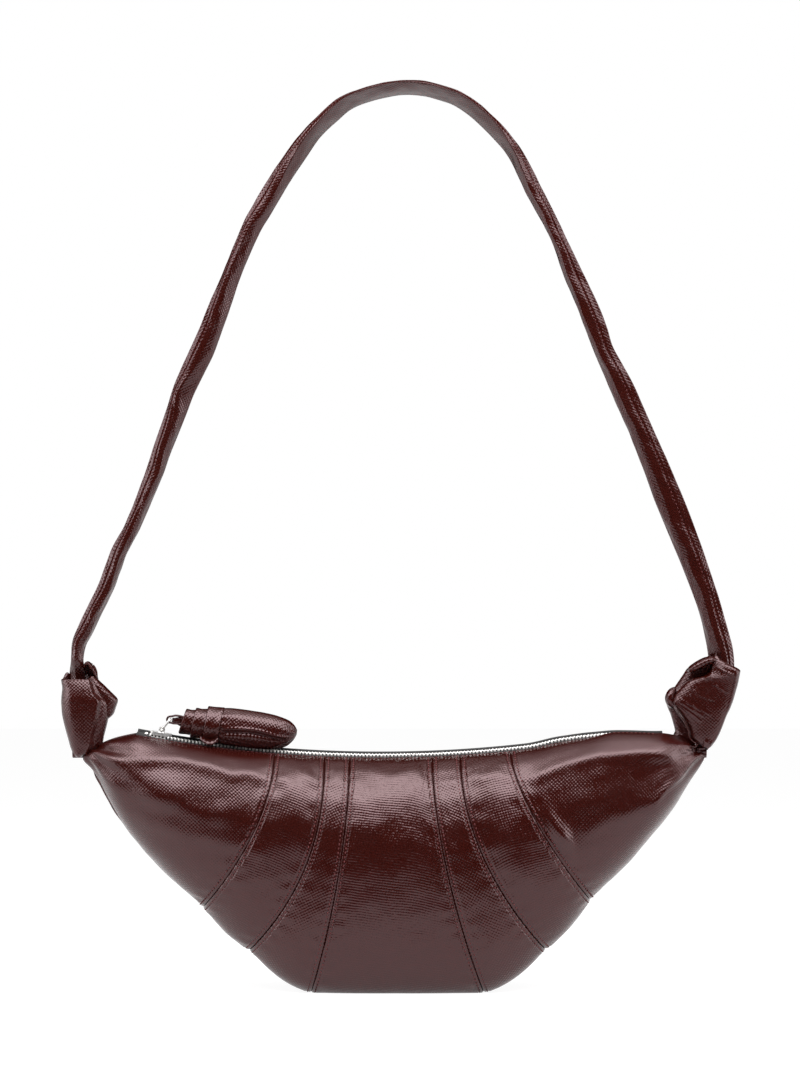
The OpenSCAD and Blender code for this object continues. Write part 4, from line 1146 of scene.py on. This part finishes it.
# What shows as a dark hollow behind the front layer
RIGHT_REAR = (
    (656.4, 707.8, 712, -3, 6), (660.7, 700.9, 722, -3.2, 9), (665.2, 693.3, 730, -3.4, 10.5),
    (668.7, 687.5, 734, -3.4, 11.2), (674.4, 683.7, 735, -3, 12), (682.8, 678, 734, -2.6, 12),
    (689, 673.7, 732.5, -2.6, 12), (692.8, 671.2, 731.5, -2.4, 12), (698.1, 669, 730, -2.2, 12),
    (703.5, 667, 728.5, -2, 12), (708.9, 668.6, 726, -2, 12), (715, 671.2, 723, -2, 11.6),
    (724.2, 673.8, 719, -2, 11), (731, 675.3, 716, -2, 10.4), (735.4, 673.8, 713.6, -2, 9.8),
    (739.5, 678, 711, -2, 9), (742.5, 685.6, 709, -2, 8),
)
RIGHT_MARKS = (
    ("ridge", 1.1, 1.2, ((712.6, 657), (711.8, 663), (711.2, 669), (708.5, 675), (702, 678.5))),
    ("ridge", 0.45, 0.7, ((672.6, 696.5), (680.5, 702), (688.7, 707.4), (696, 711.6), (704, 717))),
    ("ridge", 0.4, 0.6, ((673.6, 699.5), (680, 705.5), (688, 711.5), (695, 716.5), (701, 722))),
    ("ridge", 0.4, 0.6, ((677, 697), (686, 702.3), (694, 706), (703, 710.6), (712, 715))),
    ("ridge", 0.3, 0.7, ((690.5, 688.5), (697, 693), (704.5, 696.5), (714, 700))),
    ("ridge", 0.4, 0.6, ((717, 666), (722, 670), (728.5, 672.8), (733, 674))),
    ("ridge", 0.35, 0.6, ((710, 682), (716, 685.6), (722, 689), (728, 693))),
    ("terrace", 0.9, 0.8, ((735, 668), (734, 676), (732, 687), (729.3, 699), (725, 713), (720, 727),
                           (713.5, 739), (707, 746))),
    ("ridge", 0.9, 1.8, ((703, 741), (707, 742.6), (711.5, 744))),
)


def left_rim(turn):
    """The rear hem of the left knot stands higher on the left, where it shows past the strap,
    and behind the hole of the loop on the right."""
    right = np.angle(np.exp(1j * (turn - 1.1)))
    return 4.0 * hump(turn, 2.35, 0.3) + 7.5 * hump(right, 0, 0.4)


class BAG_OT_knots(Operator):
    """Wraps the two knots, with their folds, and the gathered necks that run into them"""
    bl_idname = "bag.knots"
    bl_label = "Knots"

    def execute(self, context):
        def knot(name, node, *skins):
            piece(name, "canvas", "strap", list(skins), node)

        knot("left_wrap", "knot_left",
             skin(wrap_form(LEFT_FRONT, 140, 180, 0.8, LEFT_MARKS, 7.0, left_rim)))
        behind = skin(wrap_form(LEFT_BEHIND, 90, 110, 0.95))
        # The loop that the strap's end runs through, and its inner side behind the hole
        loop = fold_of([(83.5, 668, 1), (85.5, 664.4, 0.5), (88.2, 663.2, 0), (91.4, 667, 0),
                        (94.6, 672.4, 0), (98, 680, 0)], 4.2, 1.3, (0, 1, 0), 60, 28)
        inside = fold_of([(82.5, 676, 4.5), (86, 668.5, 4.5), (89.5, 667.8, 4.5), (93, 673, 4.5),
                          (95, 681, 4.5)], 3.0, 1.0, (0.8, 0, -0.6), 50, 24)
        knot("left_fold", "knot_fold_left", behind, loop, inside)
        knot("right_wrap", "knot_right",
             skin(wrap_form(RIGHT_FRONT, 170, 180, 0.74, RIGHT_MARKS)))
        rear = skin(wrap_form(RIGHT_REAR, 110, 120, 0.86))
        hood = fold_of([(718, 661, -4.6), (712, 659.4, -5.4), (706.5, 660.4, -5.6),
                        (701, 663, -5.4), (695.5, 666, -5), (690.5, 668.8, -4.4),
                        (687.6, 671, -4)], 7.2, 2.7, (0, 1, 0), 70, 48)
        lobe = fold_of([(675, 687.5, -2), (671, 692.4, -3), (669.4, 698, -3.4), (670.4, 703, -3),
                        (674, 707.4, -2)], 5.4, 2.9, (0, 1, 0), 50, 32)
        hem = fold_of([(671.4, 702.4, -9), (674.7, 708.9, -10), (680, 716, -10.2),
                       (684.7, 723.8, -10), (687.6, 730.6, -9.6), (688.1, 735.6, -9.2),
                       (691.6, 740.2, -9), (695.4, 743.3, -9.2), (694.9, 746, -9.4),
                       (692.6, 746.3, -9.2), (688.7, 744.8, -8.6), (684, 742, -8),
                       (677, 738.7, -7)], 1.7, 0.5, (0, 1, 0), 160, 16)
        knot("right_folds", "knot_fold_right", rear, hood, lobe, hem)
        turn = around(84)
        # The gathered necks, round and pleated
        for side, name, end in ((-1, "left", 203), (1, "right", 190)):
            x = side * np.linspace(184, end, 60)[:, None]
            radius = 4.3 + 0.35 * np.sin(11 * turn + 0.25 * x)
            ring = np.stack([x + 0 * radius, radius * np.cos(turn),
                             NECK_Z - 2.5 + radius * np.sin(turn)], -1)
            piece("gathered_neck_" + name, "canvas", "bag", skin(ring), "end_tie_" + name)
        return {"FINISHED"}


# The stage

class BAG_OT_stage(Operator):
    """Sets the white studio: floor, surroundings, lamps and camera"""
    bl_idname = "bag.stage"
    bl_label = "Studio"

    def execute(self, context):
        scene = context.scene
        scene.view_settings.view_transform = "Standard"
        self.floor()
        self.surroundings(scene)
        self.flags()
        # Brightness is against the white walls: power = pi x area x brightness
        self.lamp("overhead softbox", (0, -0.44, 0.5), 2.0, 0.8, 6.6, 0)
        self.lamp("left softbox", (-1.3, -0.15, 0.08), 0.9, 0.8, 4.0, -math.pi / 2)
        self.lamp("right softbox", (1.3, -0.15, 0.08), 0.9, 0.8, 4.0, math.pi / 2)
        data = bpy.data.cameras.new("camera")
        # At 3 m this lens gives the photograph's scale across its 800 pixels
        data.sensor_fit, data.sensor_width, data.lens = "HORIZONTAL", 36, 217.7
        camera = bpy.data.objects.new("camera", data)
        camera.location = (0, -3.0, -0.273)
        camera.rotation_euler = (math.pi / 2, 0, 0)
        scene.collection.objects.link(camera)
        scene.camera = camera
        return {"FINISHED"}

    def lamp(self, name, place, wide, deep, brightness, turn):
        """A soft rectangle of light that shines down, or sideways when it is turned."""
        data = bpy.data.lights.new(name, "AREA")
        data.shape, data.size, data.size_y = "RECTANGLE", wide, deep
        data.energy = math.pi * wide * deep * brightness
        obj = bpy.data.objects.new(name, data)
        obj.location, obj.rotation_euler = place, (0, turn, 0)
        bpy.context.scene.collection.objects.link(obj)

    def prop(self, name, points, material):
        """A sheet of the stage, from a grid of places in mm."""
        flat, faces, _ = skin(points, False, False, (0, 0, -9000))
        mesh = bpy.data.meshes.new(name)
        mesh.from_pydata((flat * MM).tolist(), [], faces)
        mesh.materials.append(material)
        obj = bpy.data.objects.new(name, mesh)
        bpy.context.scene.collection.objects.link(obj)
        return obj

    def seen_directly(self, tree):
        """1 for rays of the camera and for mirror and glass rays, 0 for others."""
        ray = add(tree, "LightPath")
        two = add(tree, "Math", {"operation": "ADD"}, i0=ray.outputs["Is Camera Ray"],
                  i1=ray.outputs["Is Glossy Ray"])
        three = add(tree, "Math", {"operation": "ADD", "use_clamp": True}, i0=two.outputs[0],
                    i1=ray.outputs["Is Transmission Ray"])
        return three.outputs[0]

    def paper(self, tree):
        """White paper: it glows for the camera and scatters light for the rest."""
        dull = add(tree, "BsdfDiffuse", Color=(0.8, 0.8, 0.8, 1))
        thin = add(tree, "BsdfDiffuse", Color=(0.2, 0.2, 0.2, 1))
        glow = add(tree, "Emission", Color=(1, 1, 1, 1), Strength=0.91)
        white = add(tree, "AddShader", i0=thin.outputs[0], i1=glow.outputs[0])
        return add(tree, "MixShader", i0=self.seen_directly(tree), i1=dull.outputs[0],
                   i2=white.outputs[0])

    def felt(self, tree):
        return add(tree, "BsdfDiffuse", Color=(0.012, 0.012, 0.012, 1))

    def floor(self):
        """White paper floor that keeps the bag's soft shadow."""
        x, y = np.meshgrid(np.linspace(-4000.0, 4000.0, 9), np.linspace(-4000.0, 4000.0, 9))
        self.prop("floor", np.stack([x, y, 0 * x + BASE_Z - 0.3], -1),
                  new_material("white paper floor", self.paper))

    def flags(self):
        """Black felt round the set, out of the camera's sight, as a glossy product is shot:
        a cloth on the floor in front, a drape in front from floor to ceiling, a narrower one
        behind, and one all round above table height. They darken what the coat mirrors and
        leave the light on the bag as it is."""
        material = new_material("black felt", self.felt)
        x, y = np.meshgrid(np.linspace(-2000.0, 2000.0, 5), np.linspace(-2000.0, -390.0, 5))
        felt = [self.prop("felt_cloth", np.stack([x, y, 0 * x + BASE_Z + 0.3], -1), material)]
        for name, middle, spread, low in (("front", -90, 72, -554), ("rear", 90, 32, -554),
                                          ("round", 0, 180, 60)):
            turn = np.radians(np.linspace(middle - spread, middle + spread, 49))
            turn, z = np.meshgrid(turn, np.linspace(low, 2300.0, 5))
            felt.append(self.prop("drape_" + name, np.stack(
                [2000 * np.cos(turn), 2000 * np.sin(turn), z], -1), material))
        for obj in felt:
            obj.visible_camera = obj.visible_diffuse = obj.visible_shadow = False
            obj.visible_transmission = False

    def surroundings(self, scene):
        """White walls and ceiling."""
        world = bpy.data.worlds.new("white studio")
        scene.world = world
        world.use_nodes = True
        tree = world.node_tree
        tree.nodes.clear()
        level = add(tree, "MapRange", Value=self.seen_directly(tree), To_Min=0.35)
        back = add(tree, "Background", Color=(1, 1, 1, 1), Strength=level.outputs[0])
        add(tree, "OutputWorld", Surface=back.outputs[0])


def colour_value(name, description, usual):
    return FloatVectorProperty(name=name, description=description, subtype="COLOR", size=3, min=0,
                               max=1, default=linear(usual)[:3])


def length_value(name, description, low, high, usual):
    return FloatProperty(name=name, description=description, unit="LENGTH", min=low * MM,
                         max=high * MM, default=usual * MM)


class BagLooks(PropertyGroup):
    """Sizes and colours of the finish that can be changed"""
    canvas_colour: colour_value(
        "Canvas colour", "Colour of the coated canvas between the threads", "260805")
    crown_colour: colour_value(
        "Thread crown colour", "Colour of the coat on the crowns of the threads", "300E0A")
    thread_colour: colour_value("Stitch colour", "Colour of the sewing thread", "501B1D")
    gloss_roughness: FloatProperty(
        name="Gloss roughness", description="Roughness of the glossy coat", subtype="FACTOR",
        min=0.05, max=0.8, default=0.17)
    thread_pitch: length_value(
        "Thread spacing", "Distance between the canvas threads, as drawn", 0.4, 2, 1.15)
    stitch_pitch: length_value(
        "Stitch pitch", "Distance from one stitch to the next", 2, 6, 2.65)
    seam_offset: length_value(
        "Stitch offset", "Distance of the stitches from their seam", 1.5, 5, 2.6)
    panel_rows: IntProperty(
        name="Panel rows", description="Rows of faces from the mouth to the base on each side",
        min=40, max=220, default=125)


class BAG_PT_panel(Panel):
    """Lists the steps that build the bag and the values they use"""
    bl_label = "Half Moon Bag"
    bl_space_type = "VIEW_3D"
    bl_region_type = "UI"
    bl_category = "Half Moon Bag"

    def draw(self, context):
        looks = context.scene.bag_looks
        for name in BagLooks.__annotations__:
            self.layout.prop(looks, name)
        for step in STEPS:
            self.layout.operator(step.bl_idname)


STEPS = (BAG_OT_panels, BAG_OT_stitches, BAG_OT_lining, BAG_OT_zip, BAG_OT_slider, BAG_OT_puller,
         BAG_OT_strap, BAG_OT_knots, BAG_OT_stage)


def register():
    for kind in (BagLooks, *STEPS, BAG_PT_panel):
        bpy.utils.register_class(kind)
    bpy.types.Scene.bag_looks = PointerProperty(type=BagLooks)


def unregister():
    del bpy.types.Scene.bag_looks
    for kind in (BAG_PT_panel, *reversed(STEPS), BagLooks):
        bpy.utils.unregister_class(kind)


def main():
    register()
    for step in STEPS:
        getattr(bpy.ops.bag, step.bl_idname.split(".")[1])()


if __name__ == "__main__":
    main()
